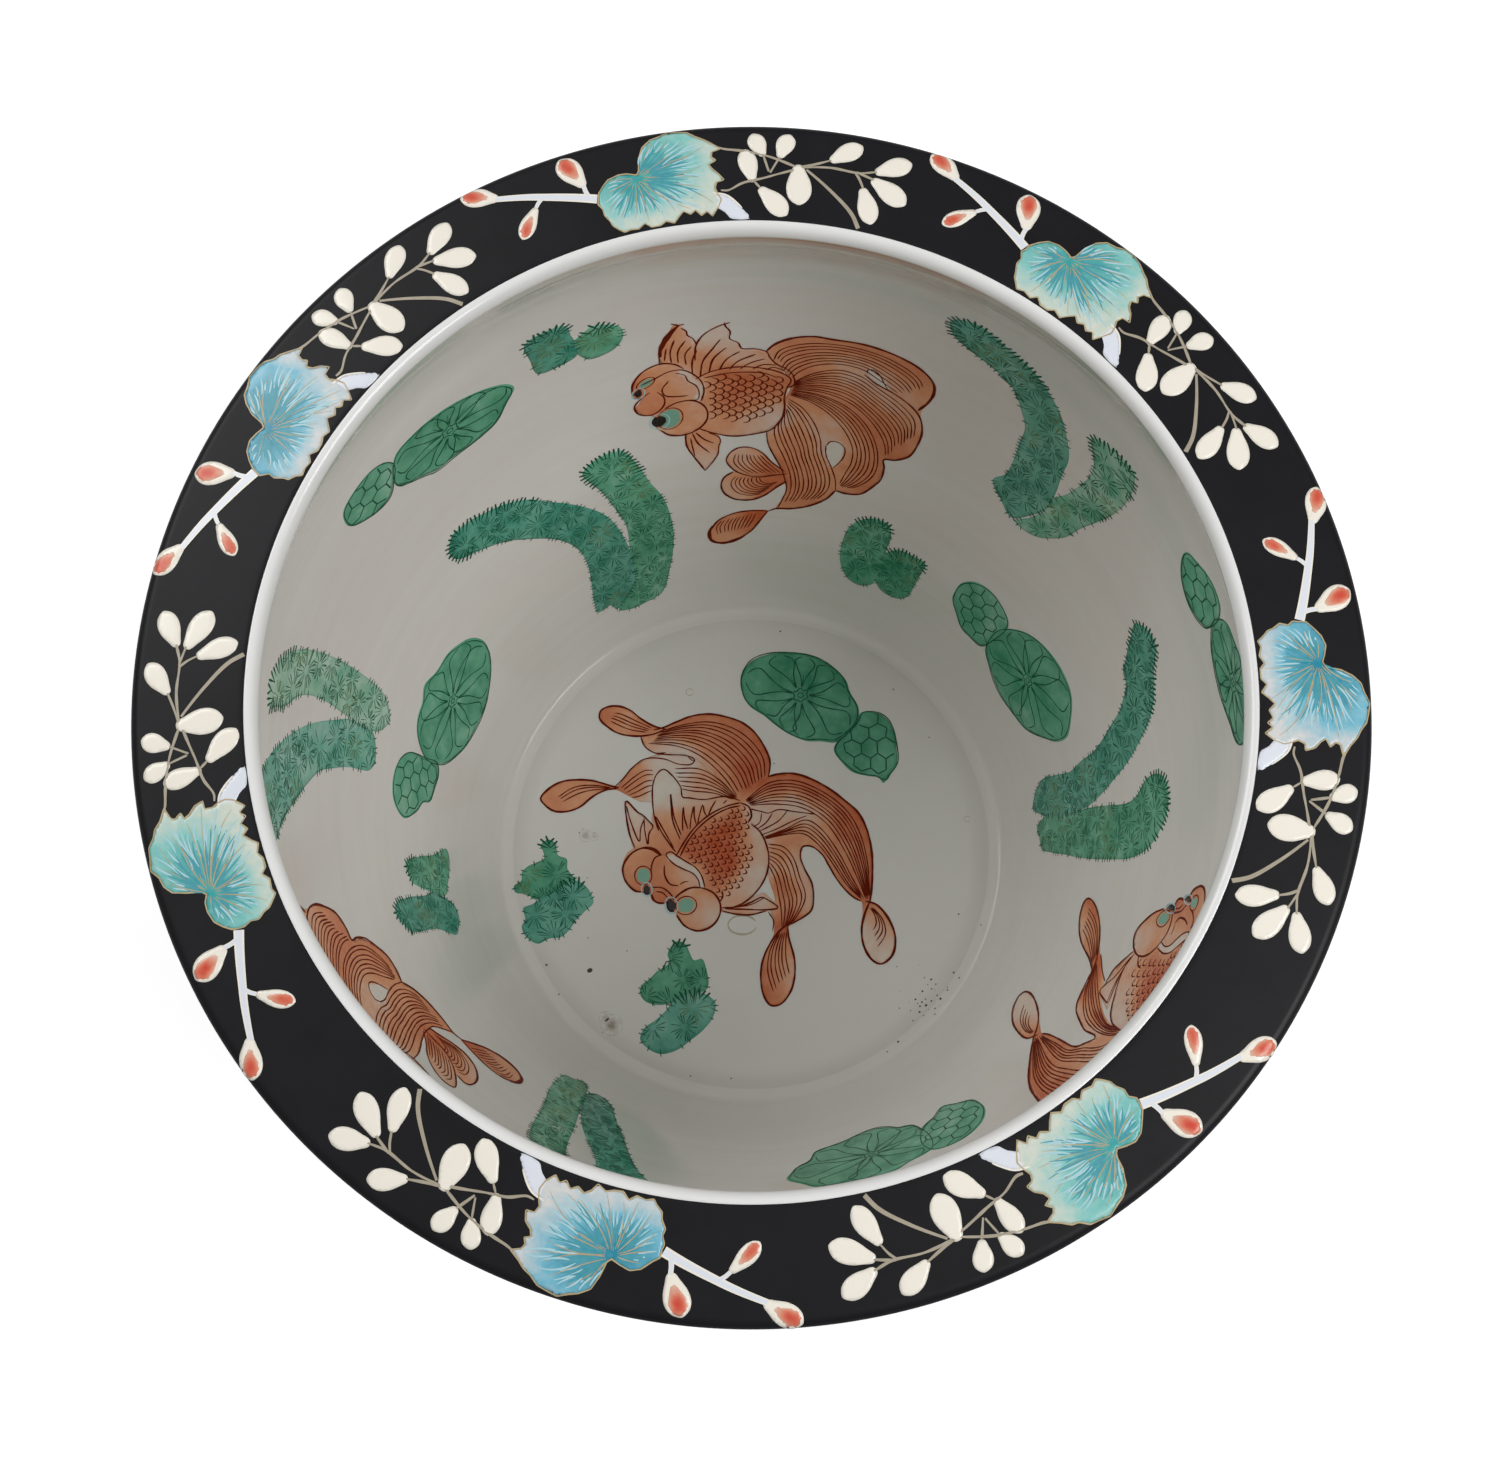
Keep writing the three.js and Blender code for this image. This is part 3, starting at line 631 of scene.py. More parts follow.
def add_piece(name: str, nodes: tuple[str, ...], places: Array, faces: list[list[int]],
              finishes: list[Paint], soft: Array | bool = True, parts: Array | int = 0,
              lay: Array | None = None) -> None:
    """Make a mesh and put it in the scene, on the body, in place of its nodes.

    Args:
        name: The piece's name.
        nodes: The CAD nodes that it replaces.
        places: Its points in millimetres.
        faces: Its faces, as lists of points.
        finishes: Its finishes.
        soft: Which faces are shaded smooth.
        parts: Each face's finish, by number.
        lay: How thickly the colour lies at each point.
    """
    mesh = bpy.data.meshes.new(name)
    mesh.from_pydata((places * METRES).tolist(), [], faces)
    mesh.polygons.foreach_set("use_smooth", np.zeros(len(faces), bool) | soft)
    for finish in finishes:
        mesh.materials.append(finish.value.material())
    mesh.polygons.foreach_set("material_index", (np.zeros(len(faces), np.int32) + parts).astype(np.int32))
    mesh.update()
    if lay is not None:
        mesh.attributes.new("lay", "FLOAT", "POINT").data.foreach_set("value", lay)
    piece = bpy.data.objects.new(name, mesh)
    bpy.context.scene.collection.objects.link(piece)
    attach(piece, "root")
    if nodes:
        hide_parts(*nodes)
    triangles = sum(len(face) - 2 for face in faces)
    log.info("%s: %d triangles for %s", name, triangles, ", ".join(nodes) or "no node")


@dataclass
class Layer:
    """A stretch of mesh in a sheet's own millimetres."""

    points: Array
    lifts: Array
    faces: Array
    tops: Array
    lay: Array
    paint: Paint
    soft: bool = True


@dataclass
class Painting:
    """One painted motif on a sheet: washes, then lines, joined in one piece."""

    sheet: Sheet
    layers: list[Layer] = field(default_factory=list)
    hand: np.random.Generator = field(default_factory=lambda: np.random.default_rng(SEED))
    edge_mm: float = 0.015
    swell_mm: float = 0.9
    sunk_mm: float = 0.12
    keel_mm: float = 0.08
    uneven_mm: float = 0.02

    def wash(self, outline: Run | Array, paint: Paint, lift: float = 0.10, step: float = 1.6,
             lay: Shading | float = 0.7, rounded: bool = True, bend: Warp = Warp()) -> Array:
        """Lay a closed wash whose edge swells up from the glaze.

        The top is a constrained triangulation of the outline and a square grid inside it. Its height
        rises from the outline as a parabola, and a copy below the glaze closes it.

        Args:
            outline: The corners of the wash.
            paint: Its finish.
            lift: Its height over the glaze.
            step: The grid's spacing.
            lay: How thickly it lies, as one share or a shading.
            rounded: Whether a smooth curve runs through the corners.
            bend: A warp for the finished wash; its shading is set before it.
        Returns:
            The smooth outline.
        """
        edge = smooth(outline, 0.7, closed=True) if rounded else outline
        low, high = edge.min(axis=0), edge.max(axis=0)
        grid = np.stack(np.meshgrid(*(np.arange(low[i] + step / 2, high[i], step) for i in (0, 1))), axis=-1)
        grid = grid.reshape(-1, 2)
        grid = grid[inside(grid, edge)]
        corners = np.vstack([edge, grid[distance(grid, edge) > 0.45 * step]])
        found = delaunay_2d_cdt([tuple(p) for p in corners], [], [list(range(len(edge)))], 1, 1e-6, False)
        points, faces = np.array([tuple(p) for p in found[0]]), np.array(found[2], int)
        faces = faces[inside(points[faces].mean(axis=1), edge)]
        count = len(points)
        swell = np.clip(distance(points, edge) / self.swell_mm, 0, 1)
        heights = self.edge_mm + (lift - self.edge_mm) * swell * (2 - swell)
        shares = lay.at(points) if isinstance(lay, Shading) else np.full(count, float(lay))
        sides = np.vstack([faces[:, [0, 1]], faces[:, [1, 2]], faces[:, [2, 0]]])
        rim = sides[~np.isin(sides[:, 0] * count + sides[:, 1], sides[:, 1] * count + sides[:, 0])]
        wall = np.vstack([np.stack([rim[:, 1], rim[:, 0], rim[:, 0] + count], axis=1),
                          np.stack([rim[:, 1], rim[:, 0] + count, rim[:, 1] + count], axis=1)])
        points = bend.at(points)
        closed = np.vstack([faces, faces[:, ::-1] + count, wall])
        self.layers.append(Layer(
            np.vstack([points, points]), np.concatenate([heights, np.full(count, -self.sunk_mm)]),
            closed, np.arange(len(closed)) < len(faces), np.concatenate([shares, shares]), paint,
        ))
        return edge

    def strokes(self, paths: Array, widths: Array | float, paint: Paint, lift: float = 0.16,
                lay: float = 0.7) -> None:
        """Lay many brush strokes of the same number of points.

        Each is a strip that widens and thins, over a keel that is sunk in the glaze: left and right
        edges are the path moved along its normal by half the width.

        Args:
            paths: Points of each stroke, as strokes by points by two.
            widths: Full width at each point, or one for all.
            paint: The finish.
            lift: Height over the glaze.
            lay: How thickly the paint lies.
        """
        strokes, count = paths.shape[:2]
        aside = normals(paths) * np.broadcast_to(np.asarray(widths) / 2, (strokes, count))[:, :, None]
        rows = np.stack([paths + aside, paths - aside, paths], axis=2)
        heights = np.empty((strokes, count, 3))
        heights[:] = (lift, lift, -self.keel_mm)
        heights[:, :, :2] += self.hand.uniform(0, self.uneven_mm, (strokes, 1, 1))
        first = np.arange(strokes)[:, None] * count
        base = (first + np.arange(count - 1)).reshape(-1, 1, 1) * 3
        body = base + np.array([[1, 4, 3], [1, 3, 0], [0, 3, 5], [0, 5, 2], [4, 1, 2], [4, 2, 5]])
        caps = np.vstack([first * 3 + [0, 2, 1], (first + count - 1) * 3 + [0, 1, 2]])
        tops = np.concatenate([np.tile(np.arange(6) < 2, len(base)), np.zeros(len(caps), bool)])
        closed = np.vstack([body.reshape(-1, 3), caps])
        self.layers.append(Layer(rows.reshape(-1, 2), heights.ravel(), closed, tops,
                                 np.full(rows.size // 2, lay), paint, soft=False))

    def line(self, points: Run | Array, width: float, paint: Paint, lift: float = 0.16,
             closed: bool = False, blunt: float = 0.45, rounded: bool = True) -> None:
        """Draw one brush line that thins at its ends and wavers a little in width.

        Args:
            points: Points that the line passes through.
            width: Its full width.
            paint: The finish.
            lift: Height over the glaze.
            closed: Whether it runs on to its start.
            blunt: Share of the width that is left at the ends.
            rounded: Whether a smooth curve runs through the points.
        """
        path = smooth(points, 0.9, closed) if rounded else points
        if closed:
            path = np.vstack([path, path[0]])
        run = path_length(path)
        end = np.minimum(run, run[-1] - run) / (3.0 * width)
        taper = 1.0 if closed else blunt + (1 - blunt) * np.clip(end, 0, 1) ** 0.7
        waver = 1 + 0.16 * np.sin(run / 2.7 + self.hand.uniform(0, 6)) + 0.08 * np.sin(run / 0.9)
        self.strokes(path[None], (width * taper * waver)[None], paint, lift)

    def fan(self, first: Array, last: Array, count: int, width: float, paint: Paint,
            span: tuple[float, float], lift: float) -> None:
        """Draw lines that fill the space between two edges, each a blend of the two.

        Args:
            first: One edge.
            last: The other edge, in the same direction.
            count: How many lines.
            width: Their width.
            paint: The finish.
            span: Shares of the edges where the lines start and stop.
            lift: Height over the glaze.
        """
        points = 60
        edges = [respaced(smooth(edge, 1.0), points) for edge in (first, last)]
        shares = (np.arange(1, count + 1) + self.hand.uniform(-0.12, 0.12, count)) / (count + 1)
        for path in edges[0] + shares[:, None, None] * (edges[1] - edges[0]):
            start, stop = np.clip(np.array(span) + self.hand.uniform(-0.02, 0.02, 2), 0, 1) * (points - 1)
            whole = path[int(start):int(stop) + 1]
            path = respaced(whole, max(4, int(path_length(whole)[-1])))
            self.line(path, width, paint, lift, rounded=False, blunt=0.3)

    def build(self, name: str, slot: str, *nodes: str) -> None:
        """Join the layers into one piece that stands for its nodes.

        Args:
            name: The piece's name.
            slot: The name of a material slot; not used.
            nodes: The CAD nodes that it replaces.
        """
        layers = self.layers
        starts = np.cumsum([0] + [len(layer.points) for layer in layers])[:-1]
        across, along = np.vstack([layer.points for layer in layers]).T
        lifts, tops, lay = (
            np.concatenate([getattr(layer, part) for layer in layers]) for part in ("lifts", "tops", "lay")
        )
        faces = np.vstack([layer.faces + start for layer, start in zip(layers, starts)])
        places = self.sheet.place(across, along, lifts)
        up = self.sheet.place(across, along, lifts + 1) - places
        a, b, c = (places[faces[tops][:, i]] for i in range(3))
        if (np.cross(b - a, c - a) * up[faces[tops][:, 0]]).sum() < 0:
            faces = faces[:, ::-1]
        paints = list(dict.fromkeys(layer.paint for layer in layers))
        parts, soft = (
            np.repeat(values, [len(layer.faces) for layer in layers])
            for values in ([paints.index(layer.paint) for layer in layers], [layer.soft for layer in layers])
        )
        add_piece(name, nodes, places, faces.tolist(), paints, tops & soft, parts, lay)


def revolved(profile: Array, wobble: Array | float = 0.0) -> tuple[Array, list[list[int]]]:
    """Turn a closed profile about the axis.

    Args:
        profile: Radius and height of each point, anticlockwise with radius to the right; the ends may lie
            on the axis.
        wobble: Change of radius for each step and profile point.
    Returns:
        Points and four-sided or three-sided faces.
    """
    count, turns = len(profile), np.arange(SEGMENTS)[:, None]
    angle = turns * WHOLE_TURN / SEGMENTS
    radius, height = np.broadcast_arrays(profile[:, 0] + wobble, profile[:, 1] + 0 * angle)
    points = np.stack([radius * np.cos(angle), radius * np.sin(angle), height], axis=2).reshape(-1, 3)
    here, there = turns * count, (turns + 1) % SEGMENTS * count
    step = np.arange(count)
    after = (step + 1) % count
    faces = np.stack([here + step, there + step, there + after, here + after], axis=2).reshape(-1, 4)
    poles = np.flatnonzero(profile[:, 0] < 1e-6)
    if len(poles) == 0:
        return points, faces.tolist()
    at_pole = np.isin(faces % count, poles)
    faces[at_pole] %= count
    kept = [list(dict.fromkeys(face)) for face in faces[at_pole.sum(axis=1) < 4].tolist()]
    used = np.zeros(len(points), bool)
    used[np.concatenate(kept)] = True
    index = np.cumsum(used) - 1
    return points[used], [index[face].tolist() for face in kept]


def turned_piece(name: str, profile: Array, paint: Paint, slot: str, *nodes: str,
                 wobble: Array | float = 0.0, tint: GlazeToneAndReflection | None = None) -> None:
    """Revolve a profile into a smooth closed piece with its faces outwards.

    Args:
        name: The piece's name.
        profile: Radius and height round the section, anticlockwise.
        paint: Its finish.
        slot: The name of a material slot; not used.
        nodes: The CAD nodes that it replaces.
        wobble: Change of radius for each step and profile point.
        tint: How warm its glaze looks: an even tone, and a painted warm reflection high on the far side.
    """
    points, faces = revolved(profile, wobble)
    degrees = np.degrees(np.arctan2(points[:, 1], points[:, 0]))
    lay = tint.at(np.stack([degrees, points[:, 2]], axis=1)) if tint else None
    add_piece(name, nodes, points, faces, [paint], lay=lay)


@dataclass(frozen=True)
class Eye:
    """A goldfish eye: the centre, radii and lean of its iris and of its pupil."""

    iris: Run
    pupil: Run

    @staticmethod
    def outline(shape: Run, grow: float = 1.0) -> Array:
        """Return one of the two outlines, grown by a share."""
        x, y, across, along, lean = shape
        return arc((x, y), (across * grow, along * grow), lean=lean)


@dataclass(frozen=True)
class Fish:
    """A goldfish in iron red: washes, outlines, fins drawn as fans of lines, scales and two eyes.

    Each wash is its height over the glaze and then its outline, each line its width and then its points,
    and each fan its two edges, how many lines it has, and the shares where they start and stop.
    """

    washes: tuple[Run, ...]
    shading: Shading
    lines: tuple[Run, ...]
    fans: tuple[tuple[Run, Run, int, float, float], ...]
    eyes: tuple[Eye, ...]
    scales: Run
    scale_mm: tuple[float, float]
    scale_turn: float
    scale_sweep: float
    scale_share: float = 0.5
    line_mm: float = 0.54
    line_lift: float = 0.17
    hair_lift: float = 0.165

    def paint(self, painting: Painting, warp: Warp = Warp()) -> None:
        """Paint the fish on a painting, bent by a warp.

        Args:
            painting: The painting to add to.
            warp: What bends it.
        """
        for lift, *outline in self.washes:
            painting.wash(outline, Paint.IRON_WASH, lift, 1.3, self.shading, bend=warp)
        for width, *points in self.lines:
            bent = warp.at(smooth(points, 0.9))
            painting.line(bent, 0.95 * width, Paint.IRON_LINE, self.line_lift, rounded=False)
        for first, last, count, *span in self.fans:
            edges = [warp.at(smooth(edge, 2.0)) for edge in (first, last)]
            painting.fan(*edges, count, self.line_mm, Paint.IRON_LINE, span, self.hair_lift)
        self.paint_scales(painting, warp)
        for eye in self.eyes:
            iris = warp.at(eye.outline(eye.iris))
            painting.wash(iris, Paint.IRIS, 0.14, 1.0, rounded=False)
            painting.line(iris, 0.5, Paint.IRON_LINE, 0.18, closed=True)
            painting.line(warp.at(eye.outline(eye.pupil, 1.25)), 0.45, Paint.LEAF_PALE, 0.19, closed=True)
            painting.wash(warp.at(eye.outline(eye.pupil)), Paint.PUPIL, 0.21, 0.9, rounded=False)

    def paint_scales(self, painting: Painting, warp: Warp) -> None:
        """Draw an arc in each cell of a staggered grid inside the scaled region; wide arcs join in a net.

        Args:
            painting: The painting to add to.
            warp: What bends them.
        """
        across, along = self.scale_mm
        region = smooth(self.scales, 1.0, closed=True)
        turn = math.radians(self.scale_turn)
        reach = int(np.ptp(region, axis=0).max() / min(across, along)) + 2
        row, column = np.meshgrid(np.arange(-reach, reach), np.arange(-reach, reach), indexing="ij")
        grid = np.stack([((column + 0.5 * (row % 2)) * across).ravel(), (row * along).ravel()], axis=1)
        turning = np.array([[math.cos(turn), math.sin(turn)], [-math.sin(turn), math.cos(turn)]])
        centres = region.mean(axis=0) + grid @ turning
        centres += painting.hand.uniform(-0.1, 0.1, centres.shape) * across
        centres = centres[inside(centres, region)]
        sweep = np.linspace(-1, 1, 9)
        angle = np.radians(self.scale_sweep) * sweep
        scale = np.stack([self.scale_share * across * np.sin(angle), 0.95 * along * np.cos(angle)], axis=1)
        paths = centres[:, None, :] + (scale @ turning)[None, :, :]
        widths = self.line_mm * np.interp(np.abs(sweep), [0, 1], [1.5, 0.7])
        bent = warp.at(paths.reshape(-1, 2)).reshape(paths.shape)
        painting.strokes(bent, widths, Paint.IRON_LINE, self.hair_lift)


# The wall's goldfish, seen from its left side: across, and down from the lip's top
WALL_FISH = Fish(washes=(
    (0.08, -7,133, -4,128, 2,123, 10,120, 18,119.5, 30,118.5, 42,120, 51,123, 57,129, 58.5,134, 58,143,
     56,150, 56,153, 58.5,163, 58.5,171, 56.5,182, 51,188, 46.5,190, 47.5,200, 45,209, 40,217, 34,219.5,
     28,220, 24,227, 16,234, 8,237.5, 0,238.5, 3,231, 4.5,224, 3.5,218, 2,212, -1,205, -5,195, -6,188,
     -4,184, 0,178, 1,165, 3,156, 0,146, -4,141),
    (0.1, -47.5,133, -47,125, -44,118, -40,110, -38,112, -36,117, -35,121, -33,126, -31,121, -27,115.5,
     -21,112.5, -20.5,118, -20,124, -17,127, -16,131, -11,131.3, -7,133, -4,141, 0,147, -20,147, -35,149,
     -44,141),
    (0.09, -40,183, -41,193, -39,199, -36,206, -34,210, -30,205, -27.5,200, -26,193, -27,188, -35,183),
    (0.11, 2,211, -3,206, -8,200, -13,197, -18,197, -22,200, -24,205, -22,210, -18,214, -10,216.5, -3,215.5,
     4,214),
    (0.1, -21,213, -25,216, -27,221, -26,227, -21,232, -13,233, -6,229.5, 0,223, 4,219, 4,214, -3,215,
     -10,216, -16,214),
    (0.1, -4,240.5, -12,240.5, -22,242.5, -30,247, -35,254, -34,261, -28,264, -20,261.5, -13,256, -8,248),
    (0.115, -34,149, -28,145.5, -18,143.5, -8,144, 0,147, 4,152, 2,158, 1.2,165, 0.5,176, -3,183, -10,188,
     -20,189.5, -29,187, -35,182, -32,170),
    (0.125, -60,151, -58,143, -55,138.5, -50,136, -44,136, -38,140, -33,147, -31,156, -32,163, -30.5,171,
     -32,179, -37,184, -45,185, -50,182, -53,177, -53,170, -57,167.5, -60,162, -57,156.5, -60,154),
), shading=Shading((
    (0.9, -4,220, -10,246),
    (0.84, -22,150, -10,152),
    (0.8, -57,143, -4,210),
    (0.78, 8,152),
    (0.76, -25,165),
    (0.75, -47,163, 44,176),
    (0.74, -12,168),
    (0.72, 48,186, 40,212),
    (0.7, -50,150, -2,160, 0,135, 52,128, 36,164, -33,250),
    (0.66, 38,198, 10,220),
    (0.64, 34,123, 6,190, 16,230),
    (0.62, 10,142, 20,162, 12,202),
    (0.6, -44,128, -30,138, -54,160, -33,192, 14,126, 56,172, -14,222, -22,250),
    (0.58, 4,234),
    (0.55, -40,116, -38,180, 8,170),
    (0.5, -42,155, -41,172, -24,180, 54,140, 24,152, 30,190, 30,214, 20,210, -3,194, -22,210),
    (0.45, -50,139, 50,147, 52,158, -30,259),
    (0.4, -46,143, -47,183, -14,184, 40,142),
    (0.38, 22,138),
    (0.35, -14,136, -40,148, -34,172, -30,198, 40,152, 16,178),
    (0.3, -6,140, -35,156, 32,141, -16,206, -22,228),
    (0.25, -20,130, 22,192),
    (0.2, -35,203),
    (0.15, -8,180),
    (0.12, -30,118, -3,174),
    (0.1, -24,118),
), 5.5, (
    (0, 32,134.5, 36,136, 40,141, 42,145, 38,144, 33.5,139.5),
    (0, 21,189, 25,187.5, 28,190, 28.5,195, 27,201, 25,204, 22,200, 20.5,194),
    (0.12, -41,143, -38,142.5, -34.5,149, -31.5,156, -33,164, -36,163.5, -34,157, -38,149),
)), lines=(
    (1.2, -7,133, -4,128, 2,123, 10,120, 18,120, 30,119, 42,120.5, 51,123.5, 57,129, 58.5,135, 57.5,143,
     54.5,151),
    (0.9, 31,139, 36,143, 44,146, 52,150.5, 56,155, 58.5,163, 58.5,172, 56.5,182, 51,188, 46.5,190, 47.5,195,
     47.5,203, 45,209, 40,217, 34,219.5, 28,219.5),
    (1, 28,219.5, 24,227, 16,234, 8,237.5, 0,238.5, -4,240.8),
    (0.6, 1,237.5, 3,231, 4.5,224, 3.5,218, 2,212, -1,205, -5,195, -6,187),
    (0.6, 32,138, 32,135.5, 34,134.5, 37,137, 39,141, 41,144.5),
    (0.6, 20.5,191, 22,188, 25.5,187.5, 28.5,190, 29,195, 27,201, 25,204.5),
    (0.6, 20.3,191, 21,197, 24.5,205, 27,212, 28,219),
    (2.3, -47,131, -46.5,126, -44,119.5, -41,114, -38.7,111),
    (1, -41.5,109.3, -39,111, -36.8,111),
    (0.6, -47.5,136, -47.3,130, -46.5,125),
    (0.65, -38,113.5, -36.3,116, -36,119, -34,122, -33,126),
    (0.75, -34,137, -33.2,127, -30.5,120.5, -25.5,115.5, -20.3,112.5),
    (0.65, -22.3,112.5, -22,115, -20.3,119, -20.5,124, -17.5,127, -16,131, -11,131.3, -7,133, -5.5,137,
     -3,141, 2,145, 4,149, 4.5,154, 2,157),
    (0.7, -43,136, -43,129, -41,121),
    (0.7, -40.5,137, -40,129, -37,122.5),
    (0.7, -37.5,139, -37.5,132, -35,127),
    (0.6, -45.5,134, -45,130, -44.3,126),
    (0.75, -35.5,146, -35,137, -33,130),
    (0.8, -32.5,148, -31,138, -27,130, -24,124),
    (0.8, -29,146, -27,137, -22,130),
    (0.8, -25,145, -22,138, -17,133),
    (0.8, -21,145, -18,140, -11,135),
    (0.7, -17,145, -13,141, -7.5,138),
    (0.7, -12,145, -8,142, -3,142),
    (0.7, -7,145.5, -4,143.5, 0,145.5),
    (0.8, -34.5,149.5, -28,145.5, -18,143.5, -8,144.5, -1,147, 3,151, 1.5,157),
    (0.7, -31,149.5, -20,147.3, -8,147.8, -2,150.5),
    (0.75, -34.5,183, -28,187, -20,189.5, -10,188, -4,185, 0,178, 1.2,170, 0.8,164, 1.5,157),
    (0.9, -60,152, -59,145, -56,140, -53,137.3, -47,135.5, -42,137.5, -38.5,141.5),
    (0.75, -56,147, -50,144.5, -45,142, -40,141.8, -36,145, -32.5,151, -31.5,158, -33,165),
    (0.6, -42,143.5, -38.5,146, -37.5,150, -34.5,154, -33.5,159, -34.5,163.5, -37.5,163),
    (0.8, -53,153, -57,156, -60,160, -59,165.5, -55,168, -51,167, -48,163, -47.8,158, -50,154),
    (0.8, -45,148, -48,153, -47,157.5, -43,159.3, -38,160),
    (0.9, -48,166, -43,163.5, -37,163.5, -33,166.5, -30.8,172, -31.5,178, -35.5,183, -42,185.3, -48,183.5,
     -51,179.5),
    (0.8, -41,184.5, -41,193, -39,199, -36,206, -34,210.5),
    (0.6, -34,210.5, -30,205, -27.5,200, -27,195, -26,192, -27,189, -31,186),
    (0.8, -38,185, -36,192, -31.2,199),
    (0.8, -36.5,185, -33,190, -29,193),
    (0.6, -39,188, -38.5,195, -38,200),
    (0.75, 3,212, -3,206.5, -8,200, -13,197, -18,197, -22,200, -24,205, -22,210, -18,214, -10,216.8,
     -3,215.5, 4,213.5),
    (0.95, -21,213, -25,216, -27,221, -26,227, -21,232, -13,233, -6,229.5, 0,223, 4,219),
    (0.9, -4,240.7, -12,240.6, -22,242.5, -30,247, -34,253),
    (1.9, -33,250, -35,255, -34,261, -28,263.7, -20,261.5, -15,258),
    (0.9, -17,259.5, -13,256, -8,248, -4.5,241),
), fans=(
    ((-5,137, -3,130, 4,125, 14,122, 30,121, 44,123.5, 53,129, 56,137), (4,152, 7,147, 13,141, 22,137.5,
     30,138, 36,142, 46,147), 8, 0.02, 0.97),
    ((4.5,152, 8,147.5, 14,142, 22,138, 30,139, 38,144, 48,149.5, 55,156, 57,168), (4,158, 16,158.5, 28,163,
     38,172.5, 44,183, 46,191), 10, 0, 0.98),
    ((4,157.5, 16,158, 28,162.5, 38,172, 45,187, 46,201, 41,211, 32,218), (3,162, 12,166, 21,174, 27,182,
     30.5,190, 31,198, 29.5,206, 28.5,216), 7, 0, 0.98),
    ((3,163, 10,168, 16,177, 19.5,187, 20.5,195, 24,204, 26.5,212, 26,220, 21,228), (0.5,178, -4,186, -3,195,
     1,205, 4,215, 4.5,226, 1.5,237), 10, 0, 0.98),
    ((-21,201, -22.5,206, -20,211, -15,215), (-7,202, -3,206.5, 0,210, 3,213), 8, 0, 1),
    ((-21,215, -24.5,221, -22,228, -15,231, -7,229), (-7,217, -6,219.5, -2,220, 2,217.5), 8, 0.05, 0.95),
    ((-30,247.5, -33,252, -32,258), (-8,242, -9.5,247, -13,253), 10, 0, 0.97),
), eyes=(
    Eye((-54,146.3,4.4,2.7,-40), (-57.5,152,2.1,2.9,10)),
    Eye((-46.5,173,5.4,6.8,10), (-51,173.5,3.4,3.9,10)),
), scales=(
    -33,151, -20,149, -4,150, -0.5,156, -2,164, -6,172, -13,178, -24,178.5, -31,174, -30.5,162,
), scale_mm=(4.6,2.9), scale_turn=-86, scale_sweep=88)
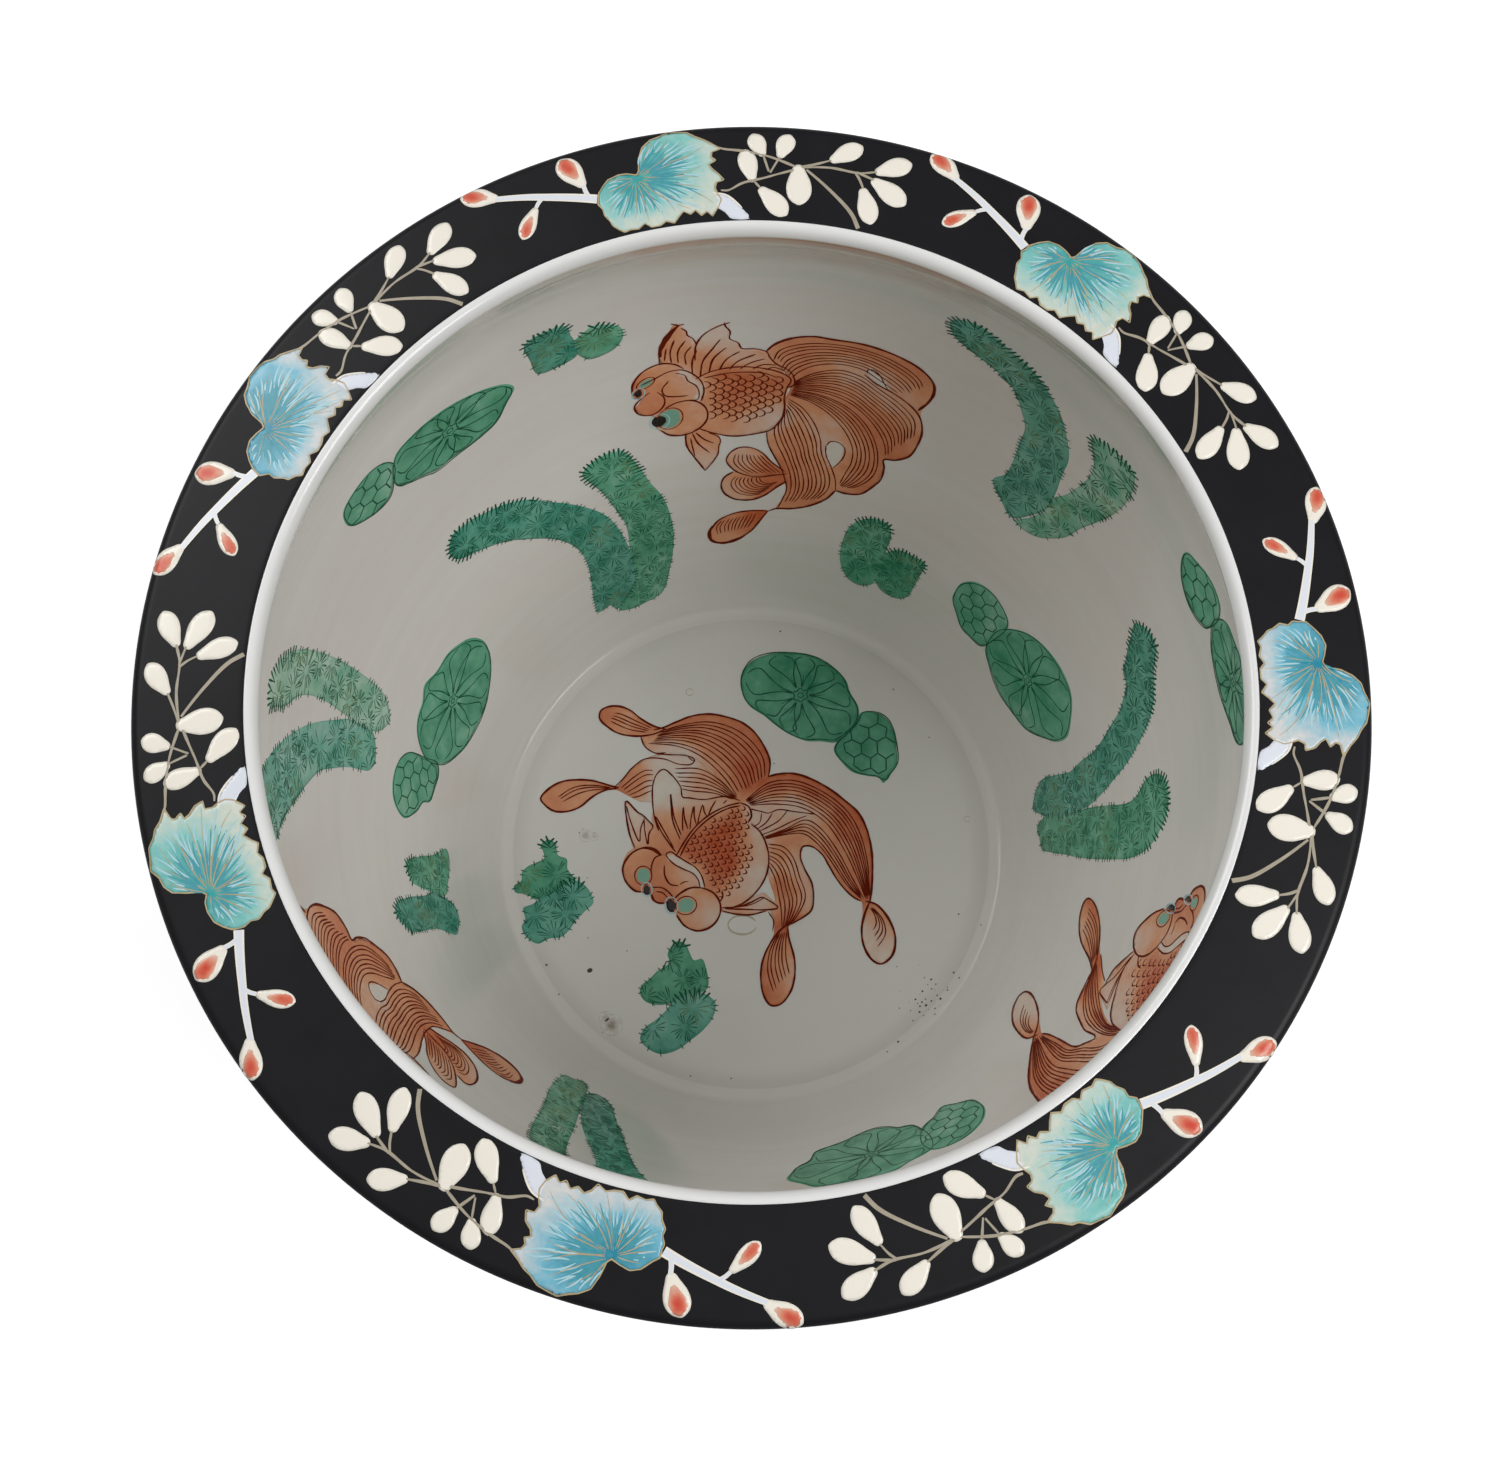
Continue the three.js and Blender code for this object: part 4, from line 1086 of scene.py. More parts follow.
# The floor's goldfish, seen from above its head: X, and Y away from the front
FLOOR_FISH = Fish(washes=(
    (0.08, -71.5,62, -71,66, -67,68, -62,68, -57,66, -52,62, -48,59.5, -42,57.5, -35,61, -28,63.5, -20,64.3,
     -12,63, -4,60, 2,55, 7,47, 9,41, 8.5,34.5, 4,30, 0,22, -6,21, -12,30, -20,38, -27,43, -34,45, -45,45.3,
     -50,48.5, -52,53, -56,53.5, -62,54.5, -67,57.5),
    (0.065, -98.5,23.5, -95,28, -89,31.5, -82,32.5, -74,32, -67,30, -63,29.5, -60,33, -56,38, -50,42.5,
     -45,44.5, -35,45, -27,43, -18,36, -6,24, -4,20, -20,16, -34,10, -46,12, -46,21, -52,22, -58,25,
     -63,27.5, -68,27.5, -74,24.5, -80,19.5, -86,17.3, -92,17.5, -96,20),
    (0.08, -3,21, 2,29, 8.5,34.5, 13,35.3, 20,35.5, 28,33, 37,28, 44,22.5, 50,17, 54,9, 56,0, 56.5,-8,
     56,-18, 55.5,-25, 60,-28, 64,-34, 66.5,-42, 65,-50, 60,-54, 56,-52.5, 52,-46, 51,-38, 51.5,-30, 51,-25,
     48,-24, 44,-20, 40,-15, 36,-8, 33,-3, 28,0.8, 24,0.5, 16,2, 7,3, 4,8, 0,12),
    (0.09, 7,5, 16,5, 22,2.5, 24,0, 23,-4, 25,-10, 28,-16, 29,-22, 28,-29, 24,-32.5, 18,-36, 17,-41, 19,-46,
     20,-52, 20,-60, 18,-67, 13.5,-72.5, 9,-73, 6,-69, 4.5,-62, 5,-54, 8,-46, 10.5,-40, 10.5,-34, 9,-29,
     11,-25, 8,-14, 7,-5),
    (0.1, -13,-27, -10,-24, 0,-23, 6,-21, 9,-23.5, 12.5,-28, 8,-29.7, -1,-31.5, -7,-31, -13.5,-29.8),
    (0.1, -54,-1, -57,8, -58.5,22, -54,18.5, -50,14.5, -46,11, -46,20, -46,30, -44,35.5, -41,37.5, -37,34,
     -33,29, -32,24.5, -24,23, -10,24.5, -4,22, -12,14, -24,4, -34,-4, -44,-3),
    (0.115, -36,-4, -31,5, -24,12, -15,18.5, -8,21.5, -2,21.5, 1,17, 1,11, 5,7, 8,0, 8.3,-6, 7,-13, 3,-20,
     -3,-25.5, -9,-28, -15,-28, -20,-20, -30,-8),
    (0.125, -55.5,-0.5, -50,0.5, -44,-1, -41,-3, -37,-2.5, -32,-5, -26,-9, -21.5,-16, -16,-21, -13.8,-28,
     -15,-33, -19,-37, -25,-38.5, -31,-36.5, -34.5,-31, -38,-28.5, -39,-26, -37,-23.8, -42,-26, -46,-24.5,
     -47,-21.8, -52.5,-20.5, -57,-17, -59.5,-11, -59,-5),
), shading=Shading((
    (0.95, -20,5, -12,-6, -8,10),
    (0.9, 0,33, 14,-34, -4,0),
    (0.85, 4,44, 10,30, 30,26, 46,12, 14,-20, -16,-16, -26,0, -42,-22),
    (0.8, -69,64, 53,-8, 10,-62),
    (0.75, -10,52, -64,28, 52,-22, 12,-48),
    (0.7, -48,56, -30,58, 46,-17, -46,-8, -40,-14, -36,-20, -48,-18),
    (0.65, -20,50, -42,3),
    (0.6, -92,24, -54,32, -12,26, -30,12, -22,14, 20,9, 40,-5, 12,-2, -56,-12),
    (0.5, -80,27, -20,33, -48,6, 60,-34, 30,8, -4,-29.8, -24,-24, -28,-34),
    (0.45, -62,62, -26,28, -38,14),
    (0.4, 16,-50, -52,-4),
    (0.35, 10,12, 26,-22, -10,-24, -34,-12),
    (0.3, -46,49, 8,20, 22,-8, 17,-60, -28,-16),
    (0.25, -16,22, -4,-20),
    (0.2, -27,21, 26,16.5, 2,-24, -18,-30),
    (0.15, -53,8, 58,-48, 4,15, 2,-2, 3,-12),
    (0.12, -40,43, 54,-40, 18,17, 2,6),
    (0.1, -30,42, -56,14, 8,-27),
    (0.05, -38,24),
    (0.02, -34,30),
    (0, -42,30),
), 4.5, (
    (0.08, -39,-2.5, -34,-4, -30,-6.5, -26,-9, -23,-13, -21.5,-18, -24,-18.5, -24.5,-15, -27,-12, -32,-9.5,
     -36.5,-7, -39.5,-3.5),
)), lines=(
    (0.9, 8.3,34.5, 9,41, 7,47, 2,55, -4,60, -12,63, -20,64.3, -28,63.3, -35,60.5, -42,57.5, -46,56.5),
    (0.9, -40,56.8, -46,58.5, -52,62, -57,66, -62,68, -67,68, -71,66, -71.5,62, -67,57.5, -62,54.7, -54,53.5,
     -46,54.5, -40,57),
    (0.7, -52,53, -50,48.5, -45,45.3, -40,45.5),
    (0.6, -45,45, -38,44.5, -30,44, -26.5,42, -28,40, -34,40, -41,42.5, -50,42.5, -56,38, -60,33, -64,29),
    (0.6, -30,44, -28,42, -26.5,41.3),
    (0.95, -62,28.5, -67,30, -74,32, -82,32.5, -89,31.5, -95,28, -98.5,23.5, -96,20, -92,17.5, -86,17.3,
     -80,19.5, -74,24.5, -68,27.5, -63,28.3),
    (1, 8,34, 13,35.3, 20,35.5, 28,33, 37,28, 44,22.5, 50,17, 54,9, 56,0, 56.5,-8, 56,-18, 55,-26),
    (1.1, 53,-25, 58,-26.5, 64,-34, 66.5,-42, 65,-50, 60,-54, 56,-52.5, 52,-46, 51,-38, 52.5,-31, 55,-25),
    (0.8, 51,-25, 48,-23.5, 44,-20, 40,-15, 36,-8, 33,-3, 28,0.8, 24,0.5, 23,-4, 25,-10, 28,-16, 29,-22,
     28,-29, 24,-32.5, 18,-36),
    (0.9, 17,-37, 17.5,-42, 20,-52, 20,-60, 18,-67, 13.5,-72.5, 9,-73, 6,-69, 4.5,-62, 5,-54, 8,-46, 14,-38,
     19,-35),
    (0.6, -1,18.7, 6,17, 8,16.5, 13,18.2, 20,17.3, 30,16),
    (0.6, 17,17.6, 13,13, 9,10.5, 4,8),
    (0.6, 10,16.5, 7,12, 3,9),
    (0.6, 5,16.5, 4,12, 1,10),
    (0.6, 4.5,6, 12,9, 20,13, 26,15.3),
    (0.75, -13,-28, -6,-27.5, 0,-25.5, 5,-23.2, 8,-24.5, 12.5,-28, 6,-29, -2,-28.8, -12,-28.5),
    (0.6, -9,-28, 0,-26.5, 6,-23.5),
    (0.8, -13.5,-29.5, -7,-31, 0,-31.3, 7,-29.5),
    (0.6, 8,-30, 10.3,-34, 10,-39),
    (0.7, -5,22.5, -12,24.5, -22,23, -29,23.8, -32,24.2, -33,29, -37,34.5, -41,37.5, -44,35.5, -46,30,
     -46,21, -45,14, -43,8),
    (0.75, -45.5,16, -42,8, -38,2, -35,-2),
    (0.7, -36,0, -40.5,8, -44.5,15),
    (0.75, -33,4, -36.5,13, -37.7,26, -36,15, -32.5,6),
    (0.7, -31.8,8, -32,13, -31.7,19.5, -31,14, -29.5,9),
    (0.7, -28.5,9, -28,14, -26.7,20, -26.5,15, -25.5,11),
    (0.7, -25,11, -24,16, -22.5,20.5, -21.8,17, -20.5,15),
    (0.75, -20,15.5, -18.5,19, -16.5,22.5),
    (0.7, -13,21, -11.3,22.8),
    (0.8, -35,-4, -31,3, -26,10, -19,16, -11,20, -5,21.5),
    (0.8, -33,-4, -29.5,3, -24.5,9.5, -18,15, -10,19, -5,20),
    (1, -5,21.5, -1,19.5, 0.2,15, -1.5,12),
    (0.85, -54,-0.3, -57,8, -58.5,22.3, -54.5,18.5, -53,17, -50.5,15.5, -48,13, -45.8,10.5, -46,9),
    (0.7, -58.3,20, -56,12, -52,3, -51.5,9, -50,13.5),
    (0.7, -50,14, -49.5,8, -48,1.5, -47.5,7, -45.5,10),
    (0.8, -52,-0.2, -48,0.3, -44,-1, -41.5,-3.5),
    (0.8, -13.5,-28, -9,-28, -3,-25.5, 3,-20, 7,-13, 8.3,-5, 7,2, 4,8, 0,11.5),
    (0.95, -36,-24.5, -33,-21.5, -28,-18.8, -22,-19, -17,-21.5, -14.3,-26, -14.5,-31.5, -18,-36.5,
     -24.5,-38.8, -30.5,-36.5, -34.5,-31.5),
    (0.95, -42,-3.5, -46,-0.8, -51,-0.2, -56,-3, -59.5,-9, -58.5,-15, -54,-20, -50,-20.8),
    (0.7, -41.5,-3.3, -44.5,-4.5, -46.3,-9, -46,-14),
    (0.8, -46.5,-18.5, -41,-18.8, -37,-22, -36,-24),
    (1, -46.5,-21, -44.5,-25, -41,-26, -38,-25),
    (0.8, -44,-20.5, -41,-21, -38.5,-23.5),
    (0.8, -40.3,-8, -40,-13, -37.5,-17, -33.5,-17.8),
    (0.8, -33,-17.2, -31,-16, -29,-15.8),
    (0.7, -23.7,-18.5, -24.5,-15, -27,-12, -32,-9.7, -36.5,-7, -39.5,-3, -37.5,-1.8, -34,-4, -30,-6.5,
     -26,-9, -23,-13, -21.3,-18.7),
    (0.7, -14.5,-25.5, -13,-22.5, -13.5,-20),
), fans=(
    ((8,35, 7.5,44, 2,52.5, -6,58.5, -18,61.8, -30,60.3, -42,56.5), (-8,24, -16,34, -26,43, -36,47.5,
     -50,49.5), 10, 0, 0.98),
    ((-46,58, -54,62.5, -62,66, -68,65), (-50,54.8, -58,55.5, -65,58.5, -69.5,62), 4, 0, 0.85),
    ((-63,29, -56,36, -50,39.8, -45.5,39.5), (-55,23, -52,22.5, -49,23.5, -46.3,25), 5, 0.05, 1),
    ((-6,24, -14,33, -24,39.5, -37,39.5), (-9,23, -18,24.5, -26,24.5, -32,26), 6, 0, 1),
    ((-65,29, -74,31, -84,30.5, -92,25), (-67,28, -76,26, -83,23, -87,21), 3, 0, 1),
    ((-3,23, 8,32.5, 20,34, 34,28.5, 46,19, 52,8, 55,-6, 55.3,-24), (0,20, 12,19.5, 24,17.5, 34,11, 42,-1,
     48,-13, 53,-24), 8, 0, 1),
    ((6,5.5, 16,9.5, 26,15, 33,11, 41,0, 47,-12, 52.5,-24), (7,4, 15,5.5, 24,5, 31,-0.5, 38,-10, 44,-18.5,
     51,-24), 5, 0, 1),
    ((57,-28, 62,-34, 63.5,-42, 59,-49), (54.5,-28, 56,-31, 56.5,-34, 55.5,-36), 4, 0, 1),
    ((8,3.5, 16,2.5, 21,-3, 24,-12, 27,-22, 22,-32, 16.5,-37), (8.5,-10, 10.5,-18, 12,-28, 14,-38), 7, 0, 1),
    ((17,-39, 17.5,-50, 19,-58), (12,-40, 7.5,-48, 6,-58, 9,-69), 6, 0, 0.97),
), eyes=(
    Eye((-50,-13,4,4.4,0), (-48.3,-19.5,2,2.6,10)),
    Eye((-30,-27,4.9,4.2,15), (-36.8,-27,2.4,3.2,10)),
), scales=(
    -32,-4, -30,4, -24,10.5, -15,16.5, -8,19.5, -2,19.5, -3,12, -3.5,5, -1,1, -0.5,-5, -2,-11, -5,-16.5,
    -10,-20.5, -16,-22, -20,-18.5, -23,-11,
), scale_mm=(3.6,2.6), scale_turn=-115, scale_sweep=66, scale_share=0.34)
# Where the second wall fish carries the first one's places: across and down, here and there
PULLED_FISH = Warp((
    58,134,58,137, 58,170,58,173, 47,200,47,202, 24,227,24,228, 0,238,1,237, -35,255,-32,253,
    -27,221,-23,218, -24,205,-21,202, -34,210,-35,195, -60,150,-60,147, 0,178,0,178, 28,196,28,196,
    -20,112,-20,110, -47,125,-47,122,
), 2)
# Where the third wall fish carries the floor fish's places: X and Y here, across and down there
TURNED_FISH = Warp((
    -24.5,-28.5,-42,158, -49.5,-10.5,-46,124, -37,-27,-47,147, -48,-19.5,-48,130, -46,-22,-50,139,
    -25,-38.5,-42,170.5, 13.5,-72.5,-54,228, 14,-36,-25,196, 8.3,-5,2,145, 3,-20,-5,164, -9,-28,-25,172,
    28,0.8,9,167, 29,-22,2,183, 24,-32.5,-8,198, 44,-20,11.5,190, 53.5,-25,12.5,213, 51,-38,1,227,
    52,-46,-6,241, 60,-54,-5,254, 66.5,-42,10,243, 64,-34,14.5,228, 54,9,39,160, 56.5,-8,33,188,
    56,-18,22,205, -70,65,-17,53, -98,24,-61,80, -20,64,5,72, 7,47,23,86,
))


@dataclass(frozen=True)
class Weed:
    """A stem or clump of water weed: a green wash, bursts of fine strokes on it, and bristles over its edge.

    Each stem is how thickly its wash lies, the wash's finish, and its outline.
    """

    stems: tuple[tuple[float, Paint, Run], ...]
    crown: float = 0.16
    burst_gap_mm: float = 11.0
    burst_mm: float = 6.8
    strokes_each: int = 20
    olive_share: float = 0.15
    burst_widths: Run = (0.16, 0.24, 0.32, 0.44, 0.3)
    bristle_widths: Run = (0.25, 0.45, 0.7, 1.0, 0.75)

    def paint(self, painting: Painting) -> None:
        """Paint every stem, the later ones over the earlier.

        Args:
            painting: The painting to add to.
        """
        for number, (depth, wash, outline) in enumerate(self.stems):
            edge = painting.wash(outline, wash, 0.08 + 0.015 * number, 1.8, depth)
            self.burst(painting, edge)
            self.bristle(painting, edge)

    def burst(self, painting: Painting, edge: Array) -> None:
        """Set bursts on a loose grid: each stroke is drawn in from a round head and thins to its centre.

        Args:
            painting: The painting to add to.
            edge: The wash's smooth outline.
        """
        hand = painting.hand
        low, high = edge.min(axis=0), edge.max(axis=0)
        axes = [np.arange(low[i] + 2, high[i], self.burst_gap_mm * k) for i, k in ((0, 1.0), (1, 0.9))]
        grid = np.stack(np.meshgrid(*axes), axis=-1)
        grid[1::2, :, 0] += self.burst_gap_mm / 2
        seeds = grid.reshape(-1, 2) + hand.uniform(-2.0, 2.0, (grid.size // 2, 2))
        seeds = seeds[inside(seeds, edge)]
        if len(seeds) == 0:
            return
        count = self.strokes_each
        angles = hand.uniform(-0.1, 0.1, (len(seeds), count)) + np.arange(count) / count * WHOLE_TURN
        lengths = hand.uniform(0.75, 1.15, (len(seeds), 1)) * hand.uniform(0.85, 1.1, angles.shape)
        t = np.linspace(0.26, 1, len(self.burst_widths))
        turn = angles[:, :, None] + hand.uniform(-0.15, 0.15, (len(seeds), count, 1)) * t
        reach = self.burst_mm * lengths[:, :, None] * t
        spokes = np.stack([np.cos(turn), np.sin(turn)], axis=-1) * reach[..., None]
        paths = (seeds[:, None, None, :] + spokes).reshape(-1, len(t), 2)
        kept = inside(paths[:, -1], edge) | (distance(paths[:, -1], edge) < 0.9)
        kept &= hand.uniform(0, 1, len(paths)) < 0.86
        widths = np.array(self.burst_widths) * hand.uniform(0.75, 1.3, (len(paths), 1))
        olive = np.repeat(hand.uniform(0, 1, len(seeds)) < self.olive_share, count)
        for some, shade in ((kept & ~olive, Paint.GREEN_HAIR), (kept & olive, Paint.OLIVE_HAIR)):
            if some.any():
                painting.strokes(paths[some], widths[some], shade, 0.14)

    def bristle(self, painting: Painting, edge: Array) -> None:
        """Flick bristles over the edge: thick and close on the crown, fine and few along the sides.

        Args:
            painting: The painting to add to.
            edge: The wash's smooth outline.
        """
        hand = painting.hand
        at = np.arange(0, len(edge), 3)
        slope = np.roll(edge, -1, axis=0)[at] - np.roll(edge, 1, axis=0)[at]
        out = -quarter_turn(slope / np.linalg.norm(slope, axis=1)[:, None])
        out *= np.where(inside(edge[at] + 0.8 * out, edge), -1, 1)[:, None]
        top = edge[:, 1].max() if self.crown < 0 else edge[:, 1].min()
        height = np.abs(edge[at, 1] - top) / max(np.ptp(edge[:, 1]), 1)
        crown = abs(self.crown)
        share = np.interp(height, [0, crown, crown + 0.12, 1], [1.0, 0.9, 0.5, 0.4])
        kept = hand.uniform(0, 1, len(at)) < share
        start, out, thick = edge[at][kept], out[kept], (height < crown)[kept]
        lean = hand.uniform(-0.35, 0.35, (len(start), 1))
        turned = out * np.cos(lean) + quarter_turn(out) * np.sin(lean)
        t = np.linspace(0, 1, len(self.bristle_widths))[None, :, None]
        inner, outer = np.where(thick, -4.2, -2.4)[:, None, None], np.where(thick, 1.9, 1.1)[:, None, None]
        reach = (inner + (outer - inner) * t) * hand.uniform(0.7, 1.2, (len(start), 1, 1))
        paths = start[:, None] + turned[:, None] * reach
        heads = np.where(thick, 0.95, 0.5)[:, None]
        painting.strokes(paths, heads * np.array(self.bristle_widths), Paint.GREEN_STROKE, 0.15)


@dataclass(frozen=True)
class Pads:
    """A veined lily pad with a smaller pad of cells beside it, each with its outline drawn off its wash."""

    large: Run
    centre: Run
    small: Run
    depth: float = 0.64
    petals: int = 9
    cell_mm: float = 8.2
    cell_reach: int = 7
    line_mm: float = 0.56
    flower_mm: float = 3.9

    def paint(self, painting: Painting) -> None:
        """Paint the small pad, then the large one over it.

        Args:
            painting: The painting to add to.
        """
        small = painting.wash(self.small, Paint.GREEN_WASH, 0.08, 1.8, self.depth - 0.12)
        self.cells(painting, small)
        large = painting.wash(self.large, Paint.GREEN_WASH, 0.10, 1.8, self.depth)
        self.rosette(painting, large)
        for edge, nudge in ((small, (0.5, 0.3)), (large, (-0.4, 0.6))):
            middle, line = edge.mean(axis=0), edge[::5]
            waver = 0.985 + 0.012 * np.sin(np.linspace(0, 9 * math.pi, len(line)))[:, None]
            line = middle + (line - middle) * waver + nudge
            painting.line(line, self.line_mm * 0.9, Paint.GREEN_STROKE, closed=True)

    def rosette(self, painting: Painting, edge: Array) -> None:
        """Draw a small flower at the centre and petals to the edge: two veins that part and close.

        Args:
            painting: The painting to add to.
            edge: The wash's smooth outline.
        """
        hand, centre = painting.hand, np.array(self.centre)
        ring = arc(centre, (3.4, 2.9), lean=20)
        ring = centre + (ring - centre) * (1 + 0.16 * np.sin(np.arange(len(ring)) * 1.35))[:, None]
        painting.line(ring, self.line_mm, Paint.GREEN_STROKE, closed=True)
        painting.line(arc(centre, (1.4, 1.2)), self.line_mm * 0.8, Paint.GREEN_STROKE, closed=True)
        offsets = edge - centre
        bearing = np.arctan2(offsets[:, 1], offsets[:, 0])
        order = np.argsort(bearing)
        radius = np.linalg.norm(offsets, axis=1)[order]
        turn = WHOLE_TURN / self.petals
        t = np.linspace(0, 1, 14)
        part = 0.1 + 0.33 * np.sin(np.clip(t, 0, 0.86) / 0.86 * math.pi / 2) ** 2
        closing = 1 - 0.72 * np.clip((t - 0.8) / 0.2, 0, 1) ** 2
        for number in range(self.petals):
            middle = -math.pi + (number + 0.5 + hand.uniform(-0.12, 0.12)) * turn
            bow = hand.uniform(-0.16, 0.16)
            for side in (-1, 1):
                angle = middle + side * turn * part * closing + bow * t * t
                wrapped = (angle + math.pi) % WHOLE_TURN - math.pi
                far = np.interp(wrapped, bearing[order], radius, period=WHOLE_TURN)
                reach = self.flower_mm + (far * 0.93 - self.flower_mm) * t
                path = centre + np.stack([np.cos(angle), np.sin(angle)], axis=1) * reach[:, None]
                painting.line(path, self.line_mm, Paint.GREEN_STROKE, 0.155, blunt=0.5)
            stub = centre + np.outer((4.2, 7.5, 10.5), (math.cos(middle), math.sin(middle)))
            painting.line(stub, self.line_mm * 0.7, Paint.GREEN_HAIR, 0.15, blunt=0.3)

    def cells(self, painting: Painting, edge: Array) -> None:
        """Draw a net of rounded cells: a honeycomb whose corners are the means of three jittered centres.

        Args:
            painting: The painting to add to.
            edge: The wash's smooth outline.
        """
        steps = np.arange(-self.cell_reach, self.cell_reach)
        row, column = np.meshgrid(steps, steps, indexing="ij")
        centres = np.stack([(column + 0.5 * row) * self.cell_mm, row * self.cell_mm * 0.866], axis=2)
        centres = edge.mean(axis=0) + centres + painting.hand.uniform(-1.4, 1.4, centres.shape)
        low = (centres[:-1, :-1] + centres[:-1, 1:] + centres[1:, :-1]) / 3
        high = (centres[:-1, 1:] + centres[1:, :-1] + centres[1:, 1:]) / 3
        pairs = ((low, high), (low[1:], high[:-1]), (low[:, 1:], high[:, :-1]))
        ends = np.concatenate([np.stack(pair, axis=2).reshape(-1, 2, 2) for pair in pairs])
        t = np.linspace(0.02, 0.98, 6)[None, :, None]
        paths = ends[:, :1] + (ends[:, 1:] - ends[:, :1]) * t
        kept = inside(paths[:, 0], edge) & inside(paths[:, -1], edge)
        near = distance(paths[:, 0], edge) + distance(paths[:, -1], edge)
        painting.strokes(paths[kept & (near > 3)], self.line_mm * 1.1, Paint.GREEN_STROKE, 0.15)


@dataclass(frozen=True)
class VineSpray:
    """One spray of vine: a lobed leaf, a twig with three buds, and a fan of nine berries on their stems.

    Each twig is its first and last width and then its points. Each bud or berry is five numbers: the
    places of its stem and of its tip, and its width.
    """

    leaf: Run
    stalk: Run
    notch: Run
    leaf_shading: Shading
    twig: tuple[Run, ...]
    buds: Run
    berries: Run
    stems: tuple[Run, ...]
    bow: Run
    # Shares along a drop and out from its middle
    half_drop: Run = (0, 0.13, 0.2, 0.3, 0.45, 0.46, 0.68, 0.48, 0.86, 0.36, 0.97, 0.14)
    # Shares along and out, and how thickly the colour lies there
    round_lay: Run = (0, 0, 1, 0.3, -0.2, 0.3, 0.6, -0.3, 0, 1, 0, 0.7,
                      0.6, 1, 1, 0.35, 0.9, 1, 0.6, -1, 0.7)
    heart_lay: Run = (0.2, 0, 0, 0.4, 0, 0.4, 0.62, 0, 1, 0.8, 0, 1, 0.97, 0, 0.3,
                      0.55, 1, 0.1, 0.75, 1, 0.25, 0.55, -1, 0.1, 0.75, -1, 0.25)
    leaf_widths: Run = (0.4, 0.8, 1, 1, 0.9, 0.8, 0.6, 0.3)

    def drop(self, start: Array, tip: Array, width: float) -> Array:
        """Return a drop's outline: narrow at its stem, widest past its middle, and pointed at its tip.

        Args:
            start: Where its stem is.
            tip: Where its tip is.
            width: Its full width.
        Returns:
            The outline.
        """
        run = tip - start
        aside = quarter_turn(run) / np.linalg.norm(run) * width
        along, out = table(self.half_drop).T[:, :, None]
        return np.vstack([start + run * along + aside * out, tip, (start + run * along - aside * out)[::-1]])

    @staticmethod
    def shaded(lay: Run, reach: float, start: Array, run: Array, aside: Array) -> Shading:
        """Return a shading from shares along a run and aside from it."""
        along, out, depth = table(lay, 3).T[:, :, None]
        return Shading(np.hstack([depth, start + run * along + aside * out]), reach)

    def paint_drop(self, painting: Painting, start: Array, tip: Array, width: float,
                   lift: float) -> None:
        """Paint a cream drop that is pale in its middle and deeper at its stem, sides and tip.

        Args:
            painting: The painting to add to.
            start: Where its stem is.
            tip: Where its tip is.
            width: Its full width.
            lift: Its height over the glaze.
        """
        run = tip - start
        shade = self.shaded(self.round_lay, 1.6, start, run, quarter_turn(run) * 0.3)
        painting.wash(self.drop(start, tip, width), Paint.CREAM, lift, 1.0, shade)

    def paint_leaf(self, painting: Painting, paint: Paint) -> None:
        """Paint the stalk, then the leaf: its wash, strokes that spread from the notch, and a thin edge.

        Args:
            painting: The painting to add to.
            paint: The leaf's finish.
        """
        hand, notch = painting.hand, np.array(self.notch)
        painting.wash(self.stalk, Paint.TWIG, 0.14, 1.2)
        painting.line(table(self.stalk)[:4], 0.6, Paint.CREAM, 0.17)
        corners = table(self.leaf)
        corners += hand.uniform(-0.3, 0.3, corners.shape)
        corners = np.vstack([corners, corners[0]])
        edge = respaced(corners, int(path_length(corners)[-1] / 0.6))[:-1]
        painting.wash(edge, paint, 0.16, 1.1, self.leaf_shading, rounded=False)
        far = np.linalg.norm(edge - notch, axis=1)
        t = np.linspace(0, 1, len(self.leaf_widths))[None, :, None]
        for count, near_share, far_share, shade, width in (
            (52, 0.4, 0.88, Paint.LEAF_PALE, 0.6), (50, 0.14, 0.74, Paint.LEAF_DEEP, 0.6),
            (22, 0.08, 0.92, Paint.LEAF_EDGE, 0.34),
        ):
            chosen = edge[np.linspace(0, len(edge) - 1, count, endpoint=False).astype(int)]
            chosen = chosen[np.linalg.norm(chosen - notch, axis=1) > 0.3 * far.max()]
            first = near_share * hand.uniform(0.8, 1.6, (len(chosen), 1))
            last = far_share * hand.uniform(0.75, 1.05, (len(chosen), 1))
            starts, ends = notch + (chosen - notch) * first, notch + (chosen - notch) * last
            run = ends - starts
            aside = quarter_turn(run)[:, None] * hand.uniform(-0.1, 0.1, (len(run), 1, 1))
            paths = starts[:, None] + run[:, None] * t + aside * 4 * t * (1 - t)
            kept = inside(paths[:, 4], edge) & inside(paths[:, -1], edge) & inside(paths[:, 0], edge)
            painting.strokes(paths[kept], width * np.array(self.leaf_widths), shade, 0.2)
        painting.line(edge, 0.45, Paint.LEAF_EDGE, 0.19, closed=True, rounded=False)

